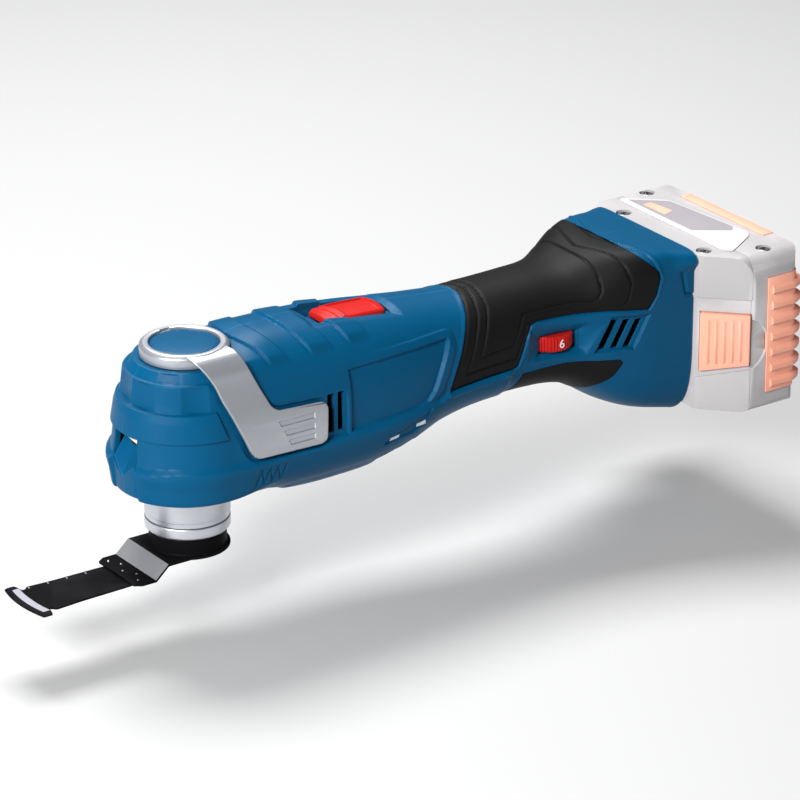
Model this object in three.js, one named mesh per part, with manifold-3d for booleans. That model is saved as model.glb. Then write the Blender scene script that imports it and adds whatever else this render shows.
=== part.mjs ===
// Oscillating multi tool with quick-clamp lever, plunge saw blade and slide-on battery pack.
// Frame: +X runs from the spindle to the battery, +Z is up, the origin is on the spindle axis
// at the lower end face of the clamping rod. Units are millimetres.
import * as THREE from 'three';
import { mergeVertices, mergeGeometries } from 'three/addons/utils/BufferGeometryUtils.js';
import Module from 'manifold-3d';

const wasm = await Module();
wasm.setup();

// ---------- driving dimensions ----------
const GAP = 0.3;              // gap between neighbouring pieces
const WALL = 2.6;             // housing wall
const BODY_END = 243;         // rear face of the housing
const SEAM = 0.15;            // half the gap between the two housing shells
const MID_Z = 46;             // height of the motor axis
const RING_R = 19;            // clamp lever ring
const RING_Z = 78.3;
const COLLAR_R = 18.3;        // silver neck collar and tool holder
const SKIN = 1.5;             // thickness of the soft grip
const TILT = 0.342;           // slope of the direction the lever strap is cut along
const PACK_NEAR = -54.5;      // battery pack: near end, far end, underside and top
const PACK_FAR = 45;
const PACK_Z0 = 5.5;
const PACK_Z1 = 78.5;
const PACK_X0 = BODY_END + 0.6;
const PACK_MID = 261;         // joint between the pack's cover and its tub
const PACK_X1 = 287.5;
const PACK_WALL = 2.6;
const SLANT_Y = -37.1;        // where the pack's front meets the slanted face of its near end
const BUTTON_TRAVEL = 2;
const SEG = 18;               // facets of a middle-sized round

// half profile of the head (radius, height), turned about the spindle
const HEAD = [
  [0, 78.4], [22, 78.2], [25.4, 73.4], [27.4, 65], [29.6, 58], [31, 49.2], [31, 44],
  [32.3, 34], [31.5, 29.3], [31, 22.4], [29, 21.4], [24, 19.4], [0, 18.4],
];
// housing sections: x, top, bottom, half width, height of the widest point, upper and lower roundness
const SECTIONS = [
  [0, 84, 14.5, 32, 42, 2.5, 2.6],
  [22, 84.2, 13.2, 32, 42, 2.5, 2.5],
  [45, 84, 10, 31.6, 42, 2.45, 2.4],
  [62, 83.6, 9.4, 31.4, 42, 2.4, 2.35],
  [82, 81.8, 10.2, 31, 42, 2.35, 2.3],
  [99, 79.6, 13.8, 29.6, 44, 2.3, 2.3],
  [118, 77.3, 20.6, 26.8, 47, 2.25, 2.3],
  [140, 75.3, 24, 25.2, 49, 2.25, 2.3],
  [171, 75.3, 24.2, 25.4, 49, 2.25, 2.3],
  [187, 75.9, 22, 27.4, 48, 2.3, 2.4],
  [197, 78.6, 17, 29.8, 46, 2.6, 2.6],
  [208, 82.2, 10, 31.8, 43, 3.4, 2.9],
  [222, 82.6, 3.8, 33.6, 42, 4.6, 3.2],
  [BODY_END, 80.2, -1.7, 34.4, 42, 6, 3.4],
];
const HEAD_BLEND = [2, 34];   // x range over which the turned head becomes the barrel

// ---------- helpers: meshes and booleans ----------
function toSolid(geometry) {
  const g = geometry.clone();
  g.deleteAttribute('normal');
  g.deleteAttribute('uv');
  const m = mergeVertices(g, 1e-4);
  const vertProperties = new Float32Array(m.attributes.position.array);
  const triVerts = new Uint32Array(m.index.array);
  if (signedVolume(vertProperties, triVerts) < 0) {
    for (let i = 0; i < triVerts.length; i += 3) {
      const keep = triVerts[i];
      triVerts[i] = triVerts[i + 1];
      triVerts[i + 1] = keep;
    }
  }
  return new wasm.Manifold(new wasm.Mesh({ numProp: 3, vertProperties, triVerts }));
}

function signedVolume(v, t) {
  let sum = 0;
  for (let i = 0; i < t.length; i += 3) {
    const a = t[i] * 3;
    const b = t[i + 1] * 3;
    const c = t[i + 2] * 3;
    sum += v[a] * (v[b + 1] * v[c + 2] - v[b + 2] * v[c + 1])
      - v[a + 1] * (v[b] * v[c + 2] - v[b + 2] * v[c])
      + v[a + 2] * (v[b] * v[c + 1] - v[b + 1] * v[c]);
  }
  return sum;
}

function toGeometry(solid) {
  const mesh = solid.getMesh();
  const g = new THREE.BufferGeometry();
  const position = new Float32Array(mesh.numVert * 3);
  for (let i = 0; i < mesh.numVert; i += 1) {
    for (let k = 0; k < 3; k += 1) {
      position[i * 3 + k] = mesh.vertProperties[i * mesh.numProp + k];
    }
  }
  g.setAttribute('position', new THREE.BufferAttribute(position, 3));
  g.setIndex(new THREE.BufferAttribute(new Uint32Array(mesh.triVerts), 1));
  g.computeVertexNormals();
  return g;
}

function union(solids) {
  return solids.reduce((a, b) => a.add(b));
}

function cut(base, tools) {
  return tools.reduce((a, b) => a.subtract(b), base);
}

// ---------- helpers: basic solids ----------
function box(x0, x1, y0, y1, z0, z1) {
  const g = new THREE.BoxGeometry(x1 - x0, y1 - y0, z1 - z0);
  g.translate((x0 + x1) / 2, (y0 + y1) / 2, (z0 + z1) / 2);
  return toSolid(g);
}

function loop(points) {
  return new THREE.Shape(points.map(([u, v]) => new THREE.Vector2(u, v)));
}

function extrude(points, depth) {
  return new THREE.ExtrudeGeometry(loop(points), { depth, bevelEnabled: false, curveSegments: 6 });
}

function prismZ(points, z0, z1) {
  const g = extrude(points, z1 - z0);
  g.translate(0, 0, z0);
  return toSolid(g);
}

function prismX(points, x0, x1) {
  const g = extrude(points, x1 - x0);
  g.applyMatrix4(new THREE.Matrix4().set(0, 0, 1, x0, 1, 0, 0, 0, 0, 1, 0, 0, 0, 0, 0, 1));
  return toSolid(g);
}

function prismY(points, y0, y1) {
  const g = extrude(points, y1 - y0);
  g.applyMatrix4(new THREE.Matrix4().set(1, 0, 0, 0, 0, 0, -1, y1, 0, 1, 0, 0, 0, 0, 0, 1));
  return toSolid(g);
}

// turned solid: closed (radius, height) profile about Z, or about X when along is 'x'
function lathe(profile, along = 'z', segments = SEG, x = 0, y = 0, z = 0) {
  const closed = profile[0][0] > 0 ? [...profile, profile[0]] : profile;
  const g = new THREE.LatheGeometry(closed.map(([r, h]) => new THREE.Vector2(r, h)), segments);
  g.rotateX(Math.PI / 2);
  if (along === 'x') {
    g.rotateY(Math.PI / 2);
  }
  if (along === 'y') {
    g.rotateX(-Math.PI / 2);
  }
  g.translate(x, y, z);
  return toSolid(g);
}

function rodZ(r, z0, z1, x = 0, y = 0, segments = SEG) {
  return lathe([[0, z0], [r, z0], [r, z1], [0, z1]], 'z', segments, x, y, 0);
}

function rodX(r, x0, x1, y = 0, z = MID_Z, segments = SEG) {
  return lathe([[0, x0], [r, x0], [r, x1], [0, x1]], 'x', segments, 0, y, z);
}

function rodY(r, y0, y1, x, z, segments = 16) {
  return lathe([[0, y0], [r, y0], [r, y1], [0, y1]], 'y', segments, x, 0, z);
}

function ringX(r0, r1, x0, x1, y = 0, z = MID_Z, segments = SEG) {
  return lathe([[r0, x0], [r1, x0], [r1, x1], [r0, x1]], 'x', segments, 0, y, z);
}

function ringZ(r0, r1, z0, z1, segments = SEG) {
  return lathe([[r0, z0], [r1, z0], [r1, z1], [r0, z1]], 'z', segments);
}

function roundedRect(u0, u1, v0, v1, r, n = 3) {
  const points = [];
  const corners = [[u1 - r, v0 + r, -90], [u1 - r, v1 - r, 0], [u0 + r, v1 - r, 90], [u0 + r, v0 + r, 180]];
  for (const [cu, cv, a0] of corners) {
    for (let i = 0; i <= n; i += 1) {
      const a = THREE.MathUtils.degToRad(a0 + (90 * i) / n);
      points.push([cu + r * Math.cos(a), cv + r * Math.sin(a)]);
    }
  }
  return points;
}

// ---------- the housing surface ----------
function sectionAt(x) {
  let i = 0;
  while (i < SECTIONS.length - 2 && x > SECTIONS[i + 1][0]) {
    i += 1;
  }
  const a = SECTIONS[i];
  const b = SECTIONS[i + 1];
  const before = SECTIONS[Math.max(i - 1, 0)];
  const after = SECTIONS[Math.min(i + 2, SECTIONS.length - 1)];
  const h = b[0] - a[0];
  const t = THREE.MathUtils.clamp((x - a[0]) / h, 0, 1);
  return a.slice(1).map((va, k) => {
    const vb = b[k + 1];
    const ma = i > 0 ? ((vb - before[k + 1]) / (b[0] - before[0])) * h : vb - va;
    const mb = i + 2 < SECTIONS.length ? ((after[k + 1] - va) / (after[0] - a[0])) * h : vb - va;
    const t2 = t * t;
    const t3 = t2 * t;
    return (2 * t3 - 3 * t2 + 1) * va + (t3 - 2 * t2 + t) * ma + (3 * t2 - 2 * t3) * vb + (t3 - t2) * mb;
  });
}

function headRadius(psi) {
  const s = Math.sin(psi);
  const c = Math.cos(psi);
  let best = Infinity;
  for (let i = 0; i + 1 < HEAD.length; i += 1) {
    const [ar, az] = HEAD[i];
    const dr = HEAD[i + 1][0] - ar;
    const dz = HEAD[i + 1][1] - az;
    const det = c * dr - s * dz;
    if (Math.abs(det) > 1e-9) {
      const k = ((az - MID_Z) * dr - ar * dz) / det;
      const u = (s * (az - MID_Z) - c * ar) / det;
      if (u > -1e-6 && u < 1 + 1e-6 && k > 0) {
        best = Math.min(best, k);
      }
    }
  }
  return best;
}

function barrelRadius(x, psi) {
  const [top, bottom, width, midZ, nTop, nBottom] = sectionAt(x);
  let low = 0;
  let high = 90;
  for (let i = 0; i < 36; i += 1) {
    const r = (low + high) / 2;
    const dz = MID_Z + r * Math.cos(psi) - midZ;
    const h = dz > 0 ? top - midZ : midZ - bottom;
    const n = dz > 0 ? nTop : nBottom;
    const value = Math.abs((r * Math.sin(psi)) / width) ** n + Math.abs(dz / h) ** n;
    if (value < 1) {
      low = r;
    } else {
      high = r;
    }
  }
  return low;
}

// distance from the motor axis to the surface at angle psi from straight up
function surfaceRadius(x, psi) {
  const t = THREE.MathUtils.clamp((x - HEAD_BLEND[0]) / (HEAD_BLEND[1] - HEAD_BLEND[0]), 0, 1);
  const w = 1 - t * t * (3 - 2 * t);
  const head = w > 0 ? headRadius(psi) : 0;
  return w * head + (1 - w) * barrelRadius(Math.max(x, 0), psi);
}

// closed housing-shaped solid, set in by a distance, between the head and x = end
function housingSolid(inset, stations, angles, headSteps, end) {
  const rows = [];
  const row = (x, side) => angles.map((deg) => {
    const psi = THREE.MathUtils.degToRad(deg);
    const r = surfaceRadius(x, psi) - inset;
    return [x, side * r * Math.sin(psi), MID_Z + r * Math.cos(psi)];
  });
  const xs = [...stations.filter((x) => x < end - 1), end];
  for (const x of [...xs].reverse()) {
    rows.push(row(x, -1));
  }
  const nose = row(0, 1);
  for (let i = 1; i < headSteps; i += 1) {
    const phi = Math.PI * (1.5 - i / headSteps);
    rows.push(nose.map(([, r, z]) => [Math.cos(phi) * r, Math.sin(phi) * r, z]));
  }
  for (const x of xs) {
    rows.push(row(x, 1));
  }
  const position = [];
  const quad = (a, b, c, d) => position.push(...a, ...b, ...c, ...a, ...c, ...d);
  for (let i = 0; i + 1 < rows.length; i += 1) {
    for (let k = 0; k + 1 < angles.length; k += 1) {
      quad(rows[i][k], rows[i + 1][k], rows[i + 1][k + 1], rows[i][k + 1]);
    }
  }
  const first = rows[0];
  const last = rows[rows.length - 1];
  for (let k = 0; k + 1 < angles.length; k += 1) {
    quad(first[k], first[k + 1], last[k + 1], last[k]);
  }
  const g = new THREE.BufferGeometry();
  g.setAttribute('position', new THREE.Float32BufferAttribute(position, 3));
  const merged = mergeVertices(g, 1e-4);
  const index = [];
  for (let i = 0; i < merged.index.count; i += 3) {
    const [a, b, c] = [0, 1, 2].map((k) => merged.index.getX(i + k));
    if (a !== b && b !== c && a !== c) {
      index.push(a, b, c);
    }
  }
  merged.setIndex(index);
  return toSolid(merged);
}

const FINE_X = [0, 9, 19, 32, 58, 88, 106, 122, 145, 172, 187, 198, 209, 224];
const FINE_A = [0, 20, 34.3, 43.5, 55, 72, 92, 110.4, 127.3, 137, 158, 180];
const ROUGH_X = [0, 20, 50, 92, 120, 150, 182, 204];
const ROUGH_A = [0, 34, 52, 84, 112, 134, 156, 180];

const outer = housingSolid(0, FINE_X, FINE_A, 8, BODY_END);
const recessSkin = housingSolid(SKIN + GAP, ROUGH_X, ROUGH_A, 4, BODY_END + 2);
const gripInner = housingSolid(SKIN, ROUGH_X, ROUGH_A, 4, BODY_END + 2);
const cavity = housingSolid(WALL, ROUGH_X, ROUGH_A, 4, BODY_END + 2);
const insideRib = housingSolid(WALL - 1, ROUGH_X, ROUGH_A, 4, BODY_END + 2);

// ---------- outlines seen from the side (x, z) ----------
const GRIP_SIDE = [
  [117.4, 40.9], [121.3, 50.2], [127.6, 62.6], [132.4, 70.1], [136, 74.4], [139, 79], [139, 95],
  [213, 95], [213.5, 85], [217, 81.5], [225, 74], [225.6, 71], [223.4, 63.2], [219.4, 57.6],
  [200.3, 60.1], [181, 60.7], [166.4, 61], [162.8, 60.2], [159.7, 55.5], [154.8, 43.2], [152.9, 42.2],
];
const GRIP_BELLY = [
  [150, 18], [150, 25], [156, 30], [158.6, 38.2], [181, 38.9], [205.6, 36.4], [207.2, 34.6], [203.3, 28.4],
  [197.3, 22.8], [190, 14],
];
const LEVER_RECESS = [
  [4, 52], [12, 36.5], [16, 34.6], [40, 33.8], [62, 35.4], [62, 59.2], [25, 60.8], [19, 73], [2, 73],
];
// lever strap and pad: x, and distance down the side of the head
const STRAP = [
  [-9, 4], [-9, 7.3], [-6.5, 11.6], [-2.8, 19.9], [-0.6, 26.5], [6.1, 40.9], [11.1, 51], [13.3, 53.6],
  [15.8, 54.7], [47.1, 55.4], [49.6, 54], [50.3, 39.7], [47.9, 37.4], [26.4, 36.2], [24.4, 35.3],
  [22.4, 33.5], [18.8, 26.3], [15.9, 19.4], [13.5, 11], [12, 4],
];
// outer line of the strap in the plane across the housing (y, z)
const STRAP_BEND = [
  [-12, 83.8], [-19, 83.4], [-23.5, 80.8], [-27.3, 75.5], [-30, 67], [-32.2, 57], [-33.2, 46], [-33.2, 28],
];

function offsetLine(points, distance) {
  return points.map(([u, v], i) => {
    const a = points[Math.max(i - 1, 0)];
    const b = points[Math.min(i + 1, points.length - 1)];
    const len = Math.hypot(b[0] - a[0], b[1] - a[1]);
    return [u - ((b[1] - a[1]) / len) * distance, v + ((b[0] - a[0]) / len) * distance];
  });
}

// outline moved outwards by a distance, or inwards when it is negative
function grow(points, distance) {
  const count = points.length;
  const area = points.reduce((sum, [u, v], i) => {
    const [u1, v1] = points[(i + 1) % count];
    return sum + u * v1 - u1 * v;
  }, 0);
  const d = distance * Math.sign(area);
  const normal = (a, b) => {
    const len = Math.hypot(b[0] - a[0], b[1] - a[1]);
    return [(b[1] - a[1]) / len, (a[0] - b[0]) / len];
  };
  return points.map((p, i) => {
    const n1 = normal(points[(i + count - 1) % count], p);
    const n2 = normal(p, points[(i + 1) % count]);
    const k = d / (1 + n1[0] * n2[0] + n1[1] * n2[1]);
    return [p[0] + (n1[0] + n2[0]) * k, p[1] + (n1[1] + n2[1]) * k];
  });
}

function strapSolid(outline, inside, outside) {
  const sheet = prismX(
    [...offsetLine(STRAP_BEND, -outside), ...offsetLine(STRAP_BEND, inside).reverse()], -20, 60);
  const c = Math.sqrt(1 - TILT * TILT);
  const g = extrude(outline, 60);
  g.applyMatrix4(new THREE.Matrix4().set(
    1, 0, 0, 0,
    0, -TILT, c, -55 * c,
    0, -c, -TILT, 84 + 55 * TILT,
    0, 0, 0, 1));
  return sheet.intersect(toSolid(g));
}

// ---------- materials ----------
const BLUE = { color: '#00538a', roughness: 0.42, metalness: 0 };
const RED = { color: '#d62d28', roughness: 0.45, metalness: 0 };
const BLACK = { color: '#17181a', roughness: 0.75, metalness: 0 };
const DARK = { color: '#26282b', roughness: 0.55, metalness: 0 };
const SILVER = { color: '#a6a9b0', roughness: 0.38, metalness: 0.85 };
const STEEL = { color: '#8b8e92', roughness: 0.35, metalness: 1 };
const BLADE = { color: '#1b1c1e', roughness: 0.4, metalness: 0.6 };
const COPPER = { color: '#b5652c', roughness: 0.4, metalness: 0.9 };
const BRASS = { color: '#c19a4b', roughness: 0.35, metalness: 0.9 };
const ALU = { color: '#9da0a5', roughness: 0.5, metalness: 0.8 };
const CLEAR = { color: '#e8e2cf', roughness: 0.15, metalness: 0 };
const BOARD = { color: '#1f4a34', roughness: 0.5, metalness: 0 };
const SALMON = { color: '#dd8a78', roughness: 0.7, metalness: 0 };
const PACK = { color: '#b3afb3', roughness: 0.55, metalness: 0 };
const PAPER = { color: '#b9babd', roughness: 0.5, metalness: 0 };

const group = new THREE.Group();
group.name = 'oscillating_multi_tool';
function part(name, solid, look) {
  const material = new THREE.MeshStandardMaterial(look);
  material.name = name;
  const mesh = new THREE.Mesh(toGeometry(solid), material);
  mesh.name = name;
  group.add(mesh);
}

// ---------- housing shells ----------
const SCREWS = [[25, 73], [25, 23], [112, 28.5], [190, 31.5], [230, 72], [230, 11]];
const SCREW_R = 1.6;
const BOSS_R = 4;
const HEAD_SCREW_R = 3;

const switchPocket = box(58, 97.5, -10.2, 10.2, 76.6, 92);
const switchBlock = box(55.5, 100, -12.8, 12.8, 74, 81).intersect(insideRib);
const switchSlot = box(67, 88, -3.2, 3.2, 70, 78);
const linkRoom = box(60, 108, -2.8, 2.8, 66, 72.4);
const headDeck = ringZ(10, 22.5, 75.4, 77.9).intersect(insideRib);
const statorRibs = [63, 93].map((x) => ringX(22.3, 34, x, x + 2, 0, MID_Z, 24).intersect(insideRib));
const bearingWeb = cut(
  union([rodX(12, 101, 105, 0, MID_Z, 20), box(101, 105, -34, 34, 43.5, 48.5), box(101, 105, -4, 4, 14, 64)]),
  [rodX(8.3, 99, 107, 0, MID_Z, 24), box(99, 107, -2.6, 2.6, 67, 80)]).intersect(insideRib);
const bosses = SCREWS.map(([x, z]) => rodY(BOSS_R, -40, 40, x, z, 8).intersect(insideRib));
const screwBores = SCREWS.map(([x, z]) => union([
  rodY(SCREW_R + GAP, -13, 40, x, z, 6), rodY(HEAD_SCREW_R + GAP, 14, 50, x, z, 8)]));
const rearRoofEdge = union([-1, 1].map((side) => {
  const edge = [[side * 30, 79.4], [side * 36.9, 78.2], [side * 33.2, 71.5], [side * 30, 70]];
  return prismX(side > 0 ? edge : [...edge].reverse(), 234, BODY_END).subtract(cavity);
}));
const frontVents = [[51.3, 54.8], [56.6, 59.8]].map(
  ([a, b]) => prismY([[a, 40], [b, 39.4], [b, 57.1], [a, 57.4]], -40, 40));
const rearVents = [0, 6, 12].map((dx) => prismY(
  [[195.2 + dx, 42.4 - dx / 12], [199 + dx, 42.4 - dx / 12], [205.4 + dx, 55.2 - dx / 8],
    [201.6 + dx, 55.4 - dx / 8]], -40, 40));
const DIAL = [177.4, -15.4];  // axis of the speed dial
const DIAL_Z = [45.3, 52.3];
const dialWindow = box(DIAL[0] - 9.6, DIAL[0] + 9.6, -40, -18, DIAL_Z[0] - 0.6, DIAL_Z[1] + 0.6);
const noseWindow = box(-40, -24, -10, 10, 38, 47);
const collarHole = rodZ(COLLAR_R + GAP, 10, 24);
const topHole = rodZ(10, 60, 80);
const ringPocket = rodZ(RING_R + 0.7, 77.9, 92, 0, 0, 36);
const leverRoom = union([
  prismY(LEVER_RECESS, -45, -30.4).intersect(box(-2, 62, -45, -20, 30, 66)),
  strapSolid(grow(STRAP, 1), 2.9, 6),
]);
const gripArea = prismY(GRIP_SIDE, -45, 45);
const bellyArea = prismY(GRIP_BELLY, -45, 45);
const pad = prismY([[80, 0], [80, 14], [84, 20.2], [94, 20.1], [104, 24], [104, 0]], -26, 26);
const gripTrough = cut(union([gripArea, bellyArea, pad]), [recessSkin]);

let shell = outer.subtract(cavity);
shell = union([shell, switchBlock, headDeck, ...statorRibs, bearingWeb, ...bosses, rearRoofEdge]);
shell = cut(shell, [
  switchPocket, switchSlot, linkRoom, collarHole, topHole, ringPocket, leverRoom, dialWindow, noseWindow,
  gripTrough,
  ...frontVents, ...rearVents, ...screwBores,
]);
const leftHalf = box(-60, 260, -60, -SEAM, -20, 120);
const rightHalf = box(-60, 260, SEAM, 60, -20, 120);
part('housing_left', shell.intersect(leftHalf), BLUE);
part('housing_right', shell.intersect(rightHalf), BLUE);

// ---------- soft grips ----------
const gripShell = outer.subtract(gripInner);
const gripCore = prismY(grow(GRIP_SIDE, -0.4), -45, 45).intersect(gripShell);
const screwHeadRoom = union(SCREWS.map(([x, z]) => rodY(HEAD_SCREW_R + 0.8, 14, 50, x, z, 16)));
part('grip_left', gripCore.intersect(leftHalf), BLACK);
part('grip_right', gripCore.intersect(rightHalf).subtract(screwHeadRoom), BLACK);
const bellyCore = prismY(grow(GRIP_BELLY, -0.4), -45, 45).intersect(gripShell);
part('grip_belly', bellyCore.subtract(screwHeadRoom), BLACK);
part('belly_pad', pad.intersect(gripShell).intersect(box(80.4, 103.6, -25.6, 25.6, 0, 40)), BLACK);

// ---------- gear case, spindle and clamp ----------
part('neck_collar', lathe([
  [16.4, 5.6], [COLLAR_R - 0.5, 5.6], [COLLAR_R, 6.2], [COLLAR_R, 22], [16.4, 22]], 'z', 24), SILVER);

const gearTube = lathe([
  [13.2, 18.6], [16.1, 18.6], [16.1, 22.4], [17, 22.4], [17, 70], [13, 73.6], [8, 73.6],
  [8, 67.6], [10, 67.6], [10, 59], [13.2, 54]], 'z', 20);
const motorFlange = ringX(9.8, 24, 35.4, 43, 0, MID_Z, 20);
const gearBridge = union([
  box(10, 36, -16, 16, 32.4, 35.2), box(10, 36, -16, 16, 56.8, 59.6)]).subtract(rodZ(13.4, 18, 72));
const gearCase = cut(union([gearTube, motorFlange, gearBridge]), [
  box(4.6, 35, -13.9, 13.9, 35.2, 56.8), rodZ(13.2, 20, 54, 0, 0, 20),
]);
part('gear_case', gearCase, ALU);

part('lower_bearing', ringZ(6.9, 12.9, 25, 33.4), STEEL);
part('upper_bearing', ringZ(6.9, 9.7, 60, 67.2), STEEL);
part('output_spindle', lathe([[3.5, 9.2], [6.6, 9.2], [6.6, 68], [3.5, 68]], 'z', 24), STEEL);
part('tool_holder', lathe([
  [15.5, 0], [COLLAR_R - 0.7, 0], [COLLAR_R, 0.8], [COLLAR_R, 5], [16, 5.3], [15.8, 12],
  [6.9, 12], [6.9, 7.4], [12.3, 7.4], [15, 2]], 'z', 24), SILVER);
const forkArms = [box(6, 30, -13.4, -10.2, 41.5, 50.5), box(6, 30, 10.2, 13.4, 41.5, 50.5)];
part('drive_fork', cut(union([
  ringZ(6.9, 12.6, 40, 52), ...forkArms, box(6, 12, -13.4, -8, 41.5, 50.5), box(6, 12, 8, 13.4, 41.5, 50.5),
]), [rodZ(6.9, 38, 54), box(13, 40, -10.2, 10.2, 30, 60)]), STEEL);
part('clamp_rod', lathe([
  [0, 0], [4.5, 0], [4.5, 0.5], [1.9, 1.4], [1.9, 11], [3.2, 12.4], [3.2, 75.4],
  [7, 75.4], [7, 77.2], [0, 77.2],
], 'z', 20), STEEL);
// stack of four disc springs, each touching the next at its inner or outer edge
const washers = [0, 1, 2, 3].map((i) => {
  const up = i % 2 === 0;
  const z = 68.4 + i * 1.62;
  const inner = up ? z + 1.1 : z;
  const rim = up ? z : z + 1.1;
  return lathe([[3.6, inner], [7.4, rim], [7.4, rim + 0.6], [3.6, inner + 0.6]], 'z', 10);
});
part('clamp_spring', union(washers), STEEL);
[['clamp_jaw_left', -1], ['clamp_jaw_right', 1]].forEach(([name, side]) => {
  const jaw = union([ringZ(3.5, 4.9, 1.9, 8.9, 20), ringZ(3.5, 6.2, 1.9, 3.1, 20)]);
  const room = side < 0 ? box(-9, 9, -9, -1.6, 0, 12) : box(-9, 9, 1.6, 9, 0, 12);
  part(name, jaw.intersect(room), STEEL);
});

const leverRing = lathe([
  [RING_R - 4, 81.4], [RING_R - 4, 84], [RING_R - 1.6, 84.2], [RING_R, 82.9], [RING_R, RING_Z], [12, RING_Z],
  [12, 80.2], [6, 80.2], [6, 77.6], [3, 77.6], [3, 81.4],
], 'z', 24);
const gripGrooves = [[26.6, 42.6, 51.6], [28.2, 42.8, 47.2], [30, 43, 42.6]].map(
  ([a, b, z]) => box(a, b, -40, -32.4, z - 1.1, z + 1.1));
const strap = strapSolid(STRAP, 2.1, 0).subtract(rodZ(RING_R - 3.9, 70, 90, 0, 0, 24));
const ringUnderside = box(-4, 4, -40, 0, 60, RING_Z - 0.01).intersect(rodZ(17, 60, 90));
part('clamp_lever', cut(union([leverRing, strap]), [...gripGrooves, ringUnderside]), SILVER);
part('lever_cap', lathe([
  [0, 81.7], [14.7, 81.7], [14.7, 83.2], [9, 84.1], [0, 84.3]], 'z', 24), BLUE);

// ---------- accessory: bent carrier with welded saw strip ----------
const ARM_W = 16;
const carrierCup = lathe([
  [18, -8.7], [18, -7.6], [16.6, -7.3], [16.6, -0.6], [14.9, -0.4], [11.6, 4.9], [6.6, 4.9],
  [6.6, 3.5], [10.9, 3.5], [14, -1.8], [15.4, -8.7],
], 'z', 22);
const carrierArm = prismY([
  [-6, -7.6], [-20, -7.6], [-26.2, -13.2], [-36, -13.2],
  [-36, -14.3], [-25.8, -14.3], [-19.6, -8.7], [-6, -8.7],
], -ARM_W, ARM_W);
const armCorner = union([-1, 1].map((s) => prismZ([
  [-37, s * (ARM_W + 1)], [-37, s * 12.5], [-31, s * (ARM_W + 1)]], -16, -12)));
const welds = [[-32.7, 11.5], [-29.8, 6], [-32.7, 0], [-29.6, -6], [-32.3, -11.5]].map(
  ([x, y]) => rodZ(0.7, -13.5, -12.9, x, y, 8));
part('blade_carrier', union([cut(union([carrierCup, carrierArm.subtract(rodZ(17.3, -12, 0, 0, 0, 22))]), [
  rodZ(15.4, -12, -8, 0, 0, 22), armCorner]), ...welds]), BLADE);
const TEETH = 20;
const TIP_REACH = -83.4;
const TIP = [];
for (let i = 0; i <= TEETH * 2; i += 1) {
  const y = 15.8 - (31.6 * i) / (TEETH * 2);
  const arc = TIP_REACH + 2.2 * (y / 15.8) ** 2;
  TIP.push([i % 2 === 0 ? arc + 0.9 : arc, y]);
}
const stripHalf = [
  [-27, 10.5], [-37, 11], [-60, 11.5], [-71.6, 12.2], [-73.4, 11.8], [-74.8, 10.8], [-75.9, 13.6], [-77.8, 15.8],
];
part('saw_strip', prismZ([
  ...stripHalf, ...TIP, ...stripHalf.map(([x, y]) => [x, -y]).reverse()], -15.5, -14.6), BLADE);

// ---------- motor ----------
part('motor_shaft', rodX(3, 18, 106.5, 0, MID_Z, 20), STEEL);
const ECC = 0.7;
const eccentricDisc = ringX(3.3, 5, 20.6, 29.4, 0, MID_Z + ECC, 20);
part('eccentric', eccentricDisc.subtract(rodX(3.3, 18, 32, 0, MID_Z, 20)), STEEL);
part('eccentric_bearing', ringX(5.3, 9.2, 21.4, 28.6, 0, MID_Z + ECC, 24), STEEL);
const weightDisc = ringX(3.3, 9, 30.4, 34.4, 0, MID_Z, 24);
part('counterweight', weightDisc.intersect(box(30, 35, -12, 12, 30, MID_Z + 1)), BRASS);
part('front_bearing', ringX(3.3, 9.5, 36, 42.4), STEEL);
const blades = [];
for (let i = 0; i < 9; i += 1) {
  const g = new THREE.BoxGeometry(7.6, 1.4, 13.4);
  g.translate(51.6, 0, 17);
  g.rotateX((i * 2 * Math.PI) / 9);
  g.translate(0, 0, MID_Z);
  blades.push(toSolid(g));
}
const fanBody = union([rodX(24, 46.4, 48.4, 0, MID_Z, 20), rodX(11, 47, 56, 0, MID_Z, 16), ...blades]);
part('cooling_fan', fanBody.subtract(rodX(3.3, 44, 60, 0, MID_Z, 20)), BLACK);
const poles = [];
const coils = [];
for (let i = 0; i < 6; i += 1) {
  const turn = (i * Math.PI) / 3;
  const pole = new THREE.BoxGeometry(28, 4, 6);
  pole.translate(79, 0, 16);
  const coil = new THREE.BoxGeometry(32.5, 7.4, 3.6);
  coil.translate(79, 0, 16.2);
  const core = new THREE.BoxGeometry(28.8, 4.6, 8);
  core.translate(79, 0, 16.5);
  for (const g of [pole, coil, core]) {
    g.rotateX(turn);
    g.translate(0, 0, MID_Z);
  }
  poles.push(toSolid(pole));
  coils.push(toSolid(coil).subtract(toSolid(core)));
}
part('motor_stator', union([ringX(18.8, 22, 65, 93, 0, MID_Z, 32), ...poles]), STEEL);
part('motor_windings', union([...coils, ringX(14.8, 18.2, 94.4, 96.4, 0, MID_Z, 18)]), COPPER);
part('motor_rotor', ringX(3.3, 12.4, 65, 93, 0, MID_Z, 24), ALU);
part('rear_bearing', ringX(3.3, 8, 100.6, 105.8), STEEL);

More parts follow.
